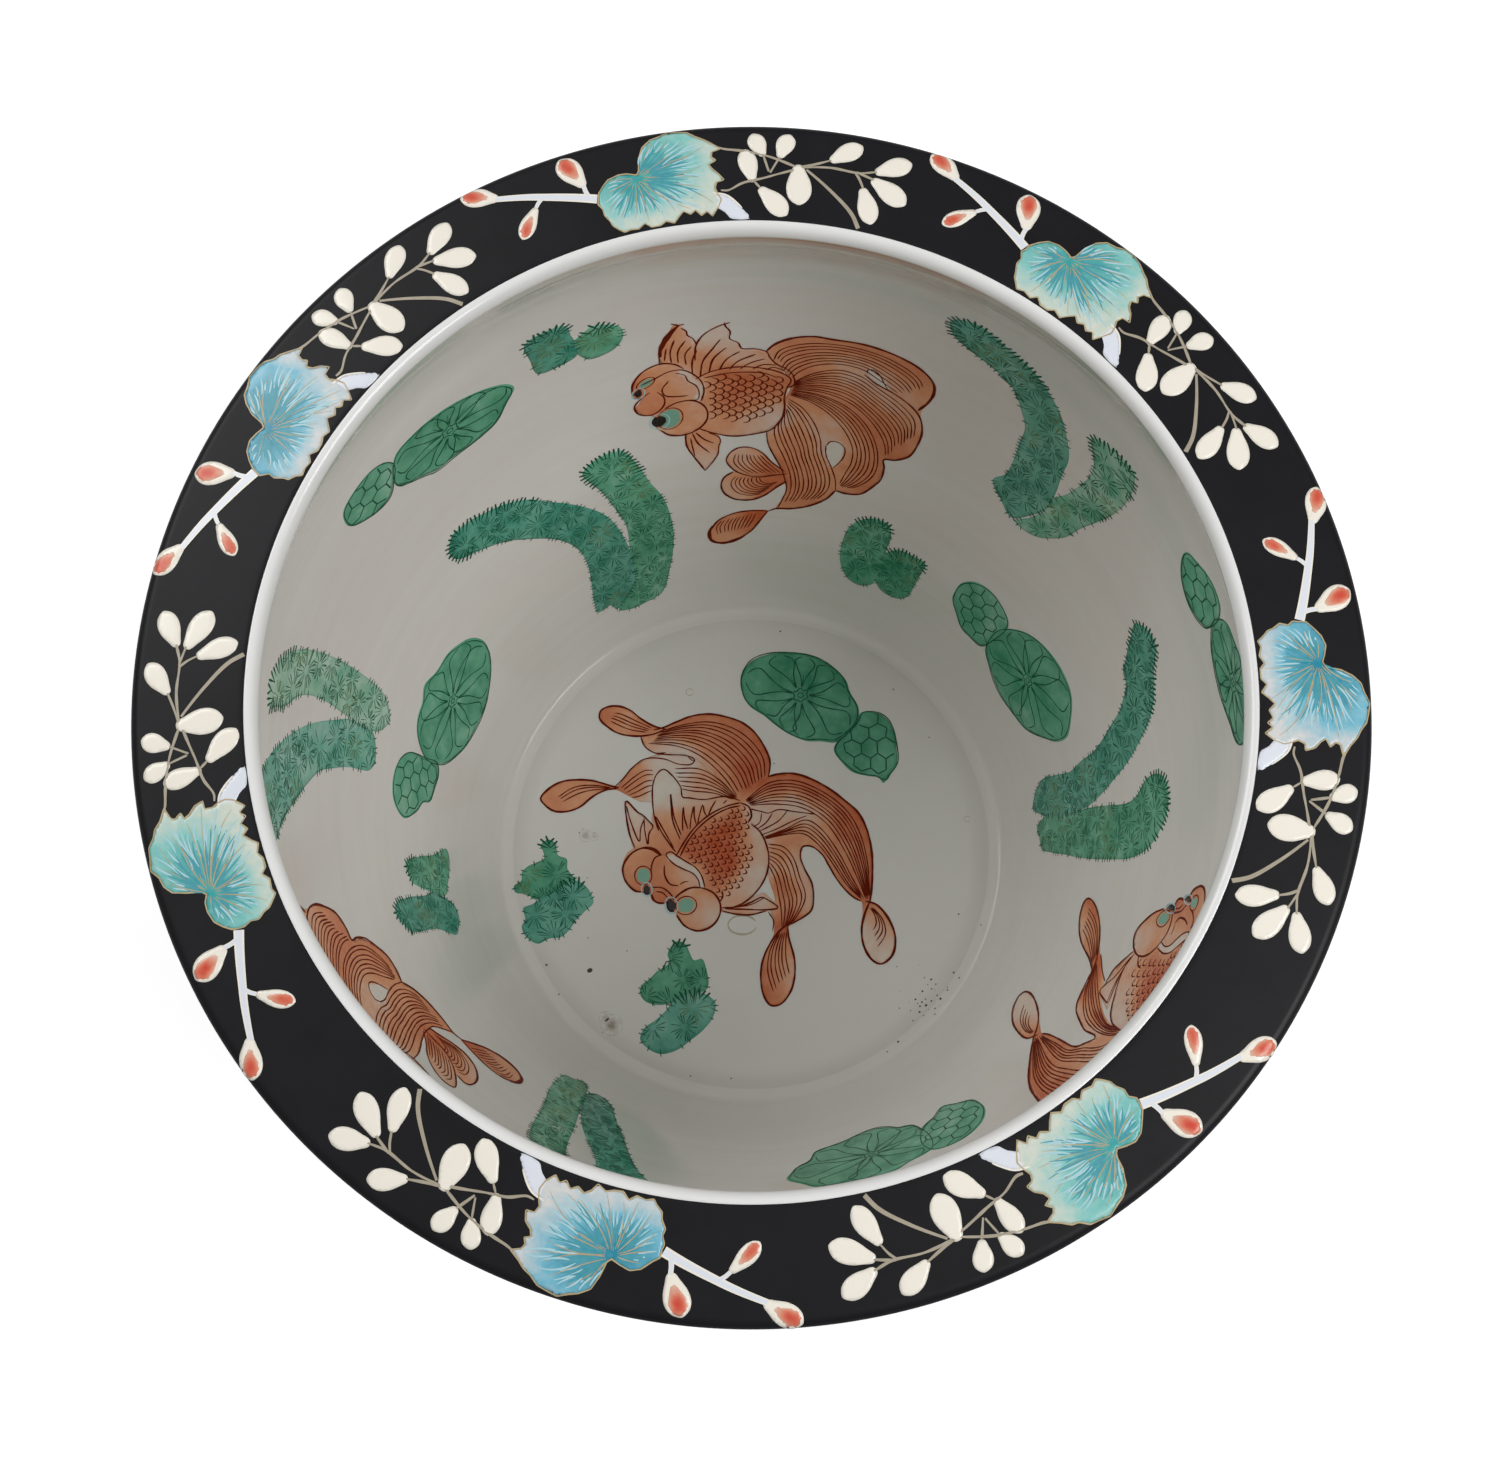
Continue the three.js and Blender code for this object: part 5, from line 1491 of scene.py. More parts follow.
    def paint_twig(self, painting: Painting) -> None:
        """Paint the twig and side stems in cream with pale blue along them, then buds with coral hearts.

        Args:
            painting: The painting to add to.
        """
        for start, stop, *points in self.twig:
            path = smooth(points, 0.9)
            widths = np.linspace(start, stop, len(path))
            painting.strokes(path[None], widths[None], Paint.CREAM, 0.2, 0.35)
            painting.strokes(path[None], (widths * 0.6)[None], Paint.TWIG, 0.23)
        for *ends, width in table(self.buds, 5):
            start, tip = table(ends)
            self.paint_drop(painting, start, tip, width, 0.22)
            run = tip - start
            aside = quarter_turn(run) / np.linalg.norm(run) * width * 0.4
            heart = self.shaded(self.heart_lay, 1.1, start, run, aside)
            inner = self.drop(start + run * 0.24, start + run * 0.97, width * 0.8)
            painting.wash(inner, Paint.CORAL, 0.36, 0.9, heart)

    def paint_berries(self, painting: Painting) -> None:
        """Paint the stems, then the berries over their ends.

        Args:
            painting: The painting to add to.
        """
        for points in self.stems:
            painting.line(points, 0.85, Paint.STEM, 0.17, blunt=0.7)
        bow = smooth(self.bow, 0.9)
        painting.strokes(bow[None], np.linspace(0.8, 1.6, len(bow))[None], Paint.STEM, 0.18)
        for *ends, width in table(self.berries, 5):
            self.paint_drop(painting, *table(ends), width * 0.94, 0.26)


@dataclass(frozen=True)
class Blemishes:
    """Small marks fired into the floor: single specks, clusters of dust, faint rings, and soft smudges.

    Specks run x, y, size; clusters x, y, reach, count; rings x, y, two radii, lean; and smudges x, y,
    reach, share.
    """

    specks: Run
    clusters: Run
    rings: Run
    smudges: Run

    def paint(self, painting: Painting) -> None:
        """Paint every mark; a cluster's dust thins outwards from its centre.

        Args:
            painting: The painting to add to.
        """
        hand = painting.hand
        for x, y, reach, depth in table(self.smudges, 4):
            ring = arc((x, y), (0.8 * reach,), stop=math.degrees(6), count=7)
            shade = Shading(((depth, x, y), (0.0, *ring.ravel())), 0.36 * reach)
            painting.wash(arc((x, y), (reach,)), Paint.SMUDGE, 0.03, 0.5, shade, rounded=False)
        dust = [(x + reach * hand.normal(), y + 0.7 * reach * hand.normal(), hand.uniform(0.35, 1.1))
                for x, y, reach, count in table(self.clusters, 4) for _ in range(int(count))]
        for x, y, size in (*table(self.specks, 3), *dust):
            dot = arc((x, y), (size / 2, size / 2 * 0.8), count=9, lean=30)
            painting.wash(dot, Paint.IRON_SPOT if size > 0.5 else Paint.DUST, 0.04, 0.8, rounded=False)
        for x, y, across, along, lean in table(self.rings, 5):
            ring = arc((x, y), (across, along), 20, 350, lean=lean)
            painting.line(ring, 0.08 * (across + along), Paint.STAIN, 0.03, blunt=0.3)


@dataclass
class Body:
    """The white clay: bowl, lip and rim in one glazed skin, the bare foot, and the black grounds."""

    form: BowlForm = FORM
    edge_waver_mm: float = 0.35
    # The glaze's even tone, and the painted warm reflection high on the far wall
    glaze_tone_and_reflection: GlazeToneAndReflection = GlazeToneAndReflection()

    def build(self) -> None:
        """Make every piece of the body."""
        self.porcelain()
        self.foot()
        self.rim_ground()
        self.outer_ground()

    def flange_root(self) -> Array:
        """Return the underside of the rim, from its edge to the outer neck.

        Returns:
            Points along it.
        """
        form = self.form
        centre, middle = form.edge_centre
        wall = form.offset_wall(form.wall_thickness)
        neck = wall[np.argmin(np.abs(wall[:, 1] - (form.height - form.neck_depth)))]
        under = form.height - form.root_thickness
        cove = under - neck[1]
        return smooth(np.array([
            (centre, middle - form.edge_thickness / 2), (neck[0] + cove * 1.6, under + 0.2),
            (neck[0] + cove * 0.55, under - cove * 0.3), (neck[0] + 0.4, neck[1] + 1.5), neck,
        ]), 2.0)

    def porcelain(self) -> None:
        """Revolve floor, wall, lip, rim and outer wall as one skin, so that no seam shows in the glaze."""
        form = self.form
        wall = form.inner_wall()
        fillet = form.floor_fillet
        bend = wall[wall[:, 1] < form.floor + fillet][0]
        toe = (form.wall_foot_radius - 0.55 * fillet, form.floor)
        corner = smooth(np.array([
            (toe[0] - 2 * fillet, form.floor), toe,
            (form.wall_foot_radius + 0.02 * fillet, form.floor + 0.18 * fillet),
            bend, wall[wall[:, 1] > form.floor + 2 * fillet][-1],
        ]), 0.5)
        corner = corner[(corner[:, 0] > toe[0] - fillet) & (corner[:, 1] < bend[1])]
        floor = np.stack([np.linspace(0, toe[0] - fillet, 14), np.full(14, form.floor)], axis=1)
        inner = wall[(wall[:, 1] > bend[1]) & (wall[:, 1] < form.height - form.lip_drop)][::-1]
        streaked = inner[:, 1] > self.glaze_tone_and_reflection.low
        inner = np.vstack([inner[~streaked][::4], inner[streaked]])
        lip = arc((form.band_radius, form.height - form.lip_drop), (form.lip_width, form.lip_drop),
                  180, 88, 15)
        edge = arc(form.edge_centre, (form.edge_thickness / 2,), 90, -90, 15)
        outer = form.offset_wall(form.wall_thickness)
        outer = outer[(outer[:, 1] < form.height - form.neck_depth) & (outer[:, 1] > form.floor + 1)][::5]
        foot_top = form.foot_radius + form.foot_chamfer
        profile = np.vstack([
            floor, corner, inner, lip, [(form.band_radius + 1.2, form.height - form.coat)], edge,
            self.flange_root()[1:-1], outer,
            [(foot_top + 1.2, form.foot_height + 0.4), (foot_top, form.foot_height), (0, form.foot_height)],
        ])
        turned_piece("porcelain_body", profile[::-1], Paint.PORCELAIN, "porcelain",
                     "floor_slab", "lower_wall", "middle_wall", "upper_wall", "rim_flange", tint=self.glaze_tone_and_reflection)

    def foot(self) -> None:
        """Revolve the bare foot, with worn round corners."""
        form = self.form
        worn = form.foot_chamfer
        top, inner = form.foot_radius + worn, form.foot_radius - form.foot_width
        profile = np.vstack([
            arc((form.foot_radius - worn, worn), (worn,), -90, 0, 7),
            [(form.foot_radius + 0.4, 3.2), (top - 0.2, form.foot_height - 1.2),
             (top - 0.5, form.foot_height), (inner - 1.2, form.foot_height),
             (inner - 0.6, form.foot_height - 1.5)],
            arc((inner + worn, worn), (worn,), 180, 270, 7),
        ])
        turned_piece("bare_foot_ring", profile, Paint.BARE, "bare_foot", "foot_ring")

    def wavering(self, share: Array) -> Array:
        """Return the brush's small wander along a painted edge: a sum of slow waves round the bowl.

        Args:
            share: How much each profile point follows it.
        Returns:
            A change of radius for each step and point.
        """
        angle = np.arange(SEGMENTS) * WHOLE_TURN / SEGMENTS
        hand = np.random.default_rng(SEED)
        wave = sum(
            hand.uniform(0.3, 1) / turns**0.5 * np.sin(turns * angle + hand.uniform(0, 6))
            for turns in (3, 7, 11, 19, 31, 47)
        )
        return self.edge_waver_mm * (wave / 2)[:, None] * share

    def rim_ground(self) -> None:
        """Revolve the black coat of the rim: its top, its round edge, and its thin inner border."""
        form = self.form
        centre, middle = form.edge_centre
        start = form.band_radius
        outer_round = form.edge_thickness / 2 + form.coat
        top = np.linspace((start + 2.2, form.height), (centre, middle + outer_round), 24)
        profile = np.vstack([
            (start + 0.1, form.height - 0.35), (start + 0.5, form.height - 0.1), (start + 1.1, form.height),
            top, arc((centre, middle), (outer_round,), 86, 31, 11),
            arc((centre, middle), (outer_round - 1.1,), 24, 86, 9),
            [(start + 2.5, form.height - 0.6), (start + 0.6, form.height - 0.6)],
        ])[::-1]
        share = np.clip(1 - (profile[:, 0] - start) / 2.0, 0, 1)
        turned_piece("rim_black_ground", profile, Paint.BLACK, "black_ground", "rim_black_coat",
                     wobble=self.wavering(share))

    def outer_ground(self) -> None:
        """Revolve the black coat of the outside, from under the neck to above the heel."""
        form = self.form
        skin = form.offset_wall(form.wall_thickness + form.coat)
        top, low = form.height - form.neck_depth - 1.0, form.floor + 2.0
        skin = skin[(skin[:, 1] < top) & (skin[:, 1] > low)][::2]
        under = form.offset_wall(form.wall_thickness + 0.3)
        under = under[(under[:, 1] < top - 0.5) & (under[:, 1] > low + 0.5)][::-5]
        upper_end = under[-1] + (skin[0] - under[-1]) * 0.6 + (0, 0.5)
        lower_end = under[0] + (skin[-1] - under[0]) * 0.6 - (0, 0.5)
        profile = np.vstack([upper_end, skin, lower_end, under])
        turned_piece("outer_black_ground", profile[::-1], Paint.BLACK, "black_ground",
                     "shoulder_black_coat", "body_black_coat")


SPRAY = VineSpray(
    leaf=(46.5,16.3, 47,18, 49,20.2, 51.8,22.4, 55.3,23.5, 58.5,22.8, 61,21.6, 62.4,22.8, 63.3,27.5,
          65.2,31.5, 67.8,33.8, 70.8,34.6, 74,36.3, 77,36, 80,35.2, 82.5,33.2, 85,32.4, 87.3,30.4, 91,28.1,
          87.8,26.8, 87.2,25.2, 88.6,23.4, 86.4,22.3, 87.4,20.3, 89.6,18.6, 91.2,15.8, 88.4,15.3, 87.8,13.2,
          89,11, 89.8,8.4, 88.6,5.6, 86.2,2.4, 84.2,4.6, 82.2,3.2, 80.3,4.9, 78,3.6, 75.5,5.2, 73.3,3.2,
          71.5,1.2, 68.5,2.6, 66,1.2, 62.5,1.2, 60.3,3, 58,1.3, 54.5,2, 52,1.3, 50.3,3.3, 48.4,4.8, 48.2,7,
          46.6,9.5, 47.2,12, 45.9,14.2),
    stalk=(87,11.2, 91.5,10.2, 94.5,8, 97.5,5, 100.6,1.2, 93,1.2, 91,3.4, 87,6.5),
    notch=(60.8,20.4),
    leaf_shading=Shading((
        (1, 62,18),
        (0.95, 58,18),
        (0.9, 64,23, 68,28, 68,18),
        (0.85, 74,24),
        (0.8, 54,20),
        (0.75, 50,17, 72,31, 60,10),
        (0.7, 54,12),
        (0.65, 66,11),
        (0.6, 80,24, 74,16, 66,33),
        (0.55, 78,32),
        (0.5, 50,10),
        (0.45, 48,13),
        (0.35, 80,14, 74,35.5),
        (0.3, 84,29, 84,20),
        (0.25, 72,8, 54,5),
        (0.15, 60,4),
        (0.12, 88,27, 48,6),
        (0.1, 88,16, 80,7, 66,4),
        (0.08, 86,9),
        (0, 70,2, 84,3, 56,2, 90,28),
    ), 2.8),
    twig=(
        (2, 3.4, 14,29.5, 25,25, 30,22.8, 46,16.3),
        (1.5, 1.3, 28.5,23.2, 26.6,22, 25,20.5),
        (1.7, 1.5, 43.5,17.8, 43,20.5, 43,23),
    ),
    buds=(14.8,29.5,4.3,36.3,7.5, 25,20.5,15.8,11.5,6, 43,22.5,38.2,35,8.2),
    berries=(105,25,101.2,33.5,6.5, 101.5,15,98.5,27.5,7.2, 110.5,24.5,113.5,33.7,6.8, 117,22,118.7,6.7,10,
             104,12.5,114.5,2.5,8.5, 127.8,25,137.5,32.5,7.5, 143.5,23.5,154.5,30,7.8, 143,20.5,156.5,14,8.5,
             140.3,16.5,146.5,3.7,8.2),
    stems=(
        (90,28.5, 91.8,27.8, 98,26.8, 106,25, 117,21),
        (90,12, 92.5,11.8, 98,14.5, 105,16.3, 110,18, 117,20.5),
        (110.5,24.5, 108.5,20.5, 107.5,18.5),
        (105,25, 106,22, 107,19),
        (117,21, 123,23, 128,25.2),
        (118,21.2, 128,22.3, 138,22, 144,23.8),
        (137,22.2, 143.5,20.5),
        (136.5,22, 138.5,19.8, 140.5,16.5),
        (104,12.8, 102,15),
    ),
    bow=(120,20.5, 130,13, 138.5,6, 142,1.2),
)
HIGH_TALL_WEEDS = (Weed((
    (0.34, Paint.GREEN_WASH, (18,150, 21,143, 23.5,132, 25,120, 24,112, 20,103, 18.5,99, 20,96, 27,93, 38,92,
     40.5,97, 42,108, 41,124, 38,137, 33.5,152, 31,163, 27,171, 21,178.5, 15,181.5, 9,181, 14,172,
     17.5,160)),
    (0.62, Paint.TEAL_WASH, (-43,83, -41,78.5, -34,75, -27,77.5, -20,81.5, -10,86, -2,93, 5,101, 10,110,
     15,122, 16,135, 17.5,148, 17.5,160, 14,170, 6.5,181, 0,176.5, -7.5,168.5, -4,160, -3.5,150, -4.5,135,
     -5,125, -9,116, -14,107, -20,102.5, -32,97.5, -40,92.5)),
)), Weed((
    (0.2, Paint.GREEN_WASH, (-13,103, -15,97, -10,93, -4,93.5, 1,97, 6,103, 10,112, 13.5,125, 16,140,
     17.5,155, 18,170, 17.5,182, 16,190, 12,196, 8,199, 3,196, 0,190, -0.5,180, -0.5,165, 0,152, -0.5,140,
     -2,130, -5,121, -9,115, -12,108)),
    (0.46, Paint.TEAL_WASH, (-68,92, -60,80, -50,78, -40,91, -33,98, -27,106, -20,118, -13,132, -8,145,
     -4,158, -1,168, -0.5,180, -1,189, -5,192.5, -12,194.5, -16.5,191, -18,184, -19,175, -22,163, -26,150,
     -33,139, -41,128, -50,115, -58,106, -62,101)),
)))
LOW_TALL_WEEDS = (Weed((
    (0.75, Paint.TEAL_WASH, (-52,180, -50,175, -46,171.5, -38,172.5, -29,176, -20,180, -10,187, -3,195,
     4,202, 12,211, 19,221, 23,232, 25,243, 26,256, 25,275, 16,285, 8,290, 5.5,285, -3,284.5, -3,277, 0,262,
     2,250, 1.5,238, -2,228, -8,219, -17,210, -28,200, -40,192.5, -50,186)),
    (0.6, Paint.GREEN_WASH, (25.5,256, 27.5,235, 25,222, 21,206, 17,196, 15.5,190, 21,185.5, 30,184,
     35,185.5, 40,197, 44,211, 48.5,223, 50.5,236, 50.5,250, 48,265, 44,278, 40,288, 36,292.5, 26,294.5,
     16,294.5, 9,291, 16,285, 24,275)),
)), Weed((
    (0.75, Paint.TEAL_WASH, (-41,180, -38,160, -28,150, -20,158, -16,172, -14.5,183, -11,195, -6,205, -1,215,
     3,225, 6,235, 9,245, 11,255, 10.5,263, 7,268, 2,267.5, -3,263, -6,256, -10,246, -15,235, -20,222,
     -25,208, -29,198, -34,190)),
    (0.5, Paint.GREEN_WASH, (-4,172, 2,166, 8,168, 13,177, 16,187, 18,200, 20,215, 23,228, 25.5,240, 27,255,
     26.5,265, 22,268, 17,273, 13,268, 11,258, 9,246, 7,235, 4.5,222, 2,205, 0,190, -2,180)),
)), Weed((
    (0.7, Paint.TEAL_WASH, (-57,157, -54,152, -50,149, -44,148.5, -41,152, -37,157, -31,161, -26,165,
     -21,171, -17,178, -13,186, -9,194, -6,202, -4,208, -1,217, 2,228, 3,245, 2,260, -2,272, -4,276, -9,283,
     -14,281, -19,276, -22,269, -21,260, -19,250, -18,243, -20,232, -21,220, -24,210, -28,200, -31,192,
     -35,186, -39,181, -44,180, -47,176, -51,170, -54,164)),
    (0.6, Paint.GREEN_WASH, (3.5,229, 5.5,215, 7.5,203, 8,196, 6,189, 2,183, 0.5,177, 1.5,170, 5,165, 12,163,
     19,165, 24,170, 29,177, 32,187, 32.5,197, 31,210, 29,225, 26,240, 22,255, 19,267, 15,277, 8,279, 2,281,
     -2,272, 1,255, 2.5,242)),
)))
LOW_SMALL_WEEDS = (Weed((
    (0.6, Paint.GREEN_WASH, (-23,250, -21,241, -16,234, -9,230, -2,231, 0.5,240, 0.5,252, 1,264, -1,276.5,
     -8,281.5, -15,280, -20,274, -23,264)),
    (0.7, Paint.GREEN_WASH, (0,252, 3,247, 8,243.5, 15,243, 22,243.5, 22,252, 21.5,262, 20.5,272, 16,277.5,
     8,279, 2,276, -1,270, -1.5,260)),
)), Weed((
    (0.6, Paint.GREEN_WASH, (-22,230, -21,226, -17,223.5, -13,222, -10,225, -8,232, -6,240, -4.5,248, -2,254,
     1,260, 1,263, -4,265, -10,264, -17,261, -24,257, -24,244)),
    (0.75, Paint.TEAL_WASH, (-45,213, -42,209, -38,204.5, -35,204.5, -31,209, -29.5,215, -28,222, -27,230,
     -26,237, -24,243, -25,252, -27,259, -30,264, -36,265, -42,261, -45.5,257, -45,250, -43,240, -44.5,225)),
)))
HIGH_SMALL_WEED = Weed((
    (0.55, Paint.GREEN_WASH, (-2,104, 2,100, 6,97, 10,98.5, 15,102.5, 16.5,108, 15,114, 11,118.5, 3,119.5,
     0,116, -2,110)),
    (0.75, Paint.TEAL_WASH, (-18.5,90, -13,88, -3.5,89.5, -2,98, -1,105, -1,112, -3,114.5, -10,116,
     -17,114.5, -18.5,103)),
))
FLOOR_WEEDS = (Weed((
    (0.75, Paint.GREEN_WASH, (-38.4,-49.4, -36,-45, -33.8,-43.6, -30.4,-44.7, -28.2,-48.9, -26.3,-52.3,
     -22.5,-51.7, -20.5,-56.4, -19.5,-63.4, -20.7,-66, -24.8,-67.5, -30.1,-68.6, -35.4,-71.4, -40.7,-72.8,
     -47.5,-71.7, -50.7,-68.1, -50.4,-64.2, -46.7,-61.1, -42.9,-57.2, -37.6,-53.6)),
    (0.65, Paint.TEAL_WASH, (-35.4,-70.6, -30.1,-67.8, -23.2,-67, -16.4,-71.7, -17.3,-78.2, -21.7,-84.1,
     -27.8,-89.1, -33.1,-93, -40.7,-95.1, -46.4,-93, -50.5,-88.4, -48.5,-83.2, -43.7,-79.8, -38.4,-74.8)),
), crown=-0.1), Weed((
    (0.75, Paint.GREEN_WASH, (-97.9,1.3, -94.5,4, -91.1,2.1, -89.8,-3.3, -85.7,-5.2, -85.2,-9.9, -81.9,-15,
     -87.6,-19, -92.9,-22, -96.7,-24, -100.5,-24, -103.5,-21.8, -109.2,-20.8, -109.8,-17.7, -106.6,-15.5,
     -106.3,-11.4, -103.5,-8.5, -99,-6.5, -96.2,-4.9, -96.7,-1.8)),
    (0.65, Paint.TEAL_WASH, (-96.4,-23.1, -90.7,-18.9, -81.9,-15.2, -76.3,-18.2, -72.9,-25.5, -77,-29.9,
     -80.8,-33.8, -83.8,-38.4, -87.6,-41.6, -92.9,-42.3, -98.2,-44.7, -103.5,-41.6, -105.8,-36.9,
     -104.2,-33.3, -105.4,-28.3, -101.3,-26.4)),
), crown=-0.1))
LOW_PADS = (Pads(
    large=(-9,232.5, 0,226, 10,222.5, 22,221, 33,223, 42,230, 48.5,238, 47.5,248, 42,257, 36,265, 30,270.5,
           20,274, 8,275.5, -2,273, -10,268.5, -17,262.5, -17,245),
    centre=(12,249),
    small=(-48,247, -47,239, -41,231.5, -33,229, -24,230.5, -17,234, -15,237, -16,250, -20,264, -28,265.5,
           -35,265.5, -42,259, -47,253),
), Pads(
    large=(-49,235, -45,228, -40,222.5, -33,219, -26,218.5, -19,215, -10,219, 0,220, 8,224, 14,229, 17.5,237,
           17,244, 14,251, 9,258, 2,264, -3,267, -12,269, -22,268.5, -33,265, -40,259.5, -46,252, -48.5,243),
    centre=(-16,241),
    small=(-81,222, -75,213, -68,210.5, -60,211.5, -54,215, -50,221, -49,235, -48,246, -53,249, -62,247,
           -68,245, -70,239, -76,233),
), Pads(
    large=(-70,190, -66,188, -58,187, -54,184.5, -46,184, -38,186, -28,188, -20,190, -15,196, -9,203,
           -11,211, -14,218, -20,224, -24,235, -30,238, -37,240, -46,243, -54,243, -60,238, -64,231,
           -70,226),
    centre=(-47,212),
    small=(-98,205, -97,195, -92,186, -84,182, -76,183, -70,187, -68,196, -70,210, -74,218, -80,221, -86,227,
           -92,220, -97,213),
))
HIGH_PADS = (Pads(
    large=(-9,99.5, 0,97.5, 12,98, 23,101, 33,105.5, 39,110, 41,115, 36,122, 30,129, 22,131.5, 11,131, 2,130,
           -3,126.5, -10,121.5, -14,116),
    centre=(13,114),
    small=(-38,101, -36,94.5, -28,92, -19,93, -13.5,97, -11.5,103, -14,111, -19,118, -27,117, -34,111.5,
           -37.5,106),
), Pads(
    large=(4,87, 8,81.5, 13,80, 22,77, 36,79, 46,86, 46,94, 43,98, 38,101, 33,104, 26,106.5, 17,107, 10,105,
           6,101, 3,96),
    centre=(25,92),
    small=(-23,97, -22,91, -17,87.5, -12,84, -5,82, 1,84, 3,90, 3,98, 2,104, -2,108, -9,110.5, -15,109,
           -20,104),
))
FLOOR_PADS = Pads(
    large=(-4,84, -4.5,79, -3,72, -0.5,68, 6,63.5, 12,58.5, 18,54.5, 26,51.2, 33,51, 40,50.5, 45,54, 50,60,
           51,67, 47,75, 45,81, 39,87, 33,91, 26,93.5, 17,94.5, 8,93.5, 0,90),
    centre=(23.5,73.5),
    small=(40,50, 39,46.5, 43,40.5, 48,36, 55,34.3, 60,33.5, 62,31, 65,34.5, 68.5,40, 68.5,48, 67,57, 64,62,
           59,65, 52,65, 50,60.5, 45,54.5),
    depth=0.8,
)
FLOOR_SPECKS = Blemishes((
    14,105,1, 86,86.7,0.8, 67.5,76.3,0.8, 84,53,0.7, 96,-31,0.9, 106,-36,0.7, 10.8,40.3,0.7, 80,-73,1.3,
    82.5,-71,0.9, 86.7,-70,1.2, 67,-89.5,1.1, -27.5,-105,0.8, -9,-106,0.8, 77,-76,1.1, 84,-77,0.7,
    90,-66,0.8, 74,-80,0.8, 93,-58,1, 62,-94,0.7, -76,-14,0.6, -75,-42,0.7, -57,-48,0.7, -88,-68,0.8,
    -74,-57,2.6, -94,-54.5,1.2,
), (
    -63,-83,2.6,12, -77,6,2,8, 80,-73,6,16, 84,-60,8,12,
), (
    -4,-36,6.6,4.4,0, 101,13.7,1.5,1.4,0, -29,75,1.8,1.7,0, -54,107.5,2.6,2.4,0,
), (
    -63.5,-82,5,0.8, -66.5,-78.5,3,0.5, -77,6,3.2,0.55, -73,5.5,2,0.4,
))


def paint_node(node: str, slot: str, sheet: Sheet, motif: Fish | Weed | Pads, *bend: Warp,
               seed: int = SEED) -> None:
    """Paint a motif in place of its node.

    Args:
        node: The node's name.
        slot: The name of a material slot, handed to the build, which does not use it.
        sheet: The face that the motif is painted on.
        motif: The motif.
        bend: A warp for a fish.
        seed: The seed of the hand's small errors.
    """
    painting = Painting(sheet, hand=np.random.default_rng(seed))
    motif.paint(painting, *bend)
    painting.build(f"{node}_enamel", slot, node)


@dataclass(frozen=True)
class Pond:
    """Everything painted inside: fish, weeds and lily pads round the wall and on the floor.

    Each motif of the wall has its turn about the axis and how far down it is moved.
    """

    wall: tuple[tuple[str, tuple[tuple[Weed | Pads, float, float], ...]], ...] = (
        ("low_tall_weed", ((LOW_TALL_WEEDS[0], 122.6, 0), (LOW_TALL_WEEDS[1], -117.4, 0),
                           (LOW_TALL_WEEDS[2], 2.6, 0))),
        ("high_tall_weed", ((HIGH_TALL_WEEDS[0], 49.8, 0), (HIGH_TALL_WEEDS[1], 169.8, 0),
                            (HIGH_TALL_WEEDS[0], 282, -12))),
        ("low_small_weed", ((LOW_SMALL_WEEDS[0], 64.2, 0), (LOW_SMALL_WEEDS[1], 184.2, 0),
                            (LOW_SMALL_WEEDS[0], 300, -120))),
        ("high_small_weed", ((HIGH_SMALL_WEED, 112.3, 0), (HIGH_SMALL_WEED, 252, 20),
                             (HIGH_SMALL_WEED, 355, -36))),
        ("low_lily_pads", ((LOW_PADS[0], 32.1, 0), (LOW_PADS[1], 152.1, 0), (LOW_PADS[2], -87.9, 0))),
        ("high_lily_pads", ((HIGH_PADS[0], 136.5, 0), (HIGH_PADS[0], 251.5, -40), (HIGH_PADS[1], 16.5, 0))),
    )
    fish: tuple[tuple[Fish, float, float, Warp], ...] = (
        (WALL_FISH, 85.5, 0, Warp()), (WALL_FISH, 218.5, -34, PULLED_FISH),
        (FLOOR_FISH, -34.5, 0, TURNED_FISH),
    )
    floor: tuple[tuple[str, Weed | Pads], ...] = (
        ("floor_lily_pads", FLOOR_PADS), ("floor_weed_1", FLOOR_WEEDS[0]), ("floor_weed_2", FLOOR_WEEDS[1]),
    )

    def build(self) -> None:
        """Paint the wall, then the floor."""
        seed = SEED
        for kind, motifs in self.wall:
            for number, (motif, turn, down) in enumerate(motifs, 1):
                paint_node(f"{kind}_{number}", "green_enamel", WallSheet(turn, down), motif, seed=seed)
                seed += 1
        for number, (fish, turn, down, warp) in enumerate(self.fish, 1):
            paint_node(f"wall_fish_{number}", "iron_red", WallSheet(turn, down), fish, warp)
        paint_node("floor_fish", "iron_red", FloorSheet(), FLOOR_FISH)
        for node, motif in self.floor:
            paint_node(node, "green_enamel", FloorSheet(), motif)
        painting = Painting(FloorSheet())
        FLOOR_SPECKS.paint(painting)
        painting.build("floor_fired_specks", "iron_red")


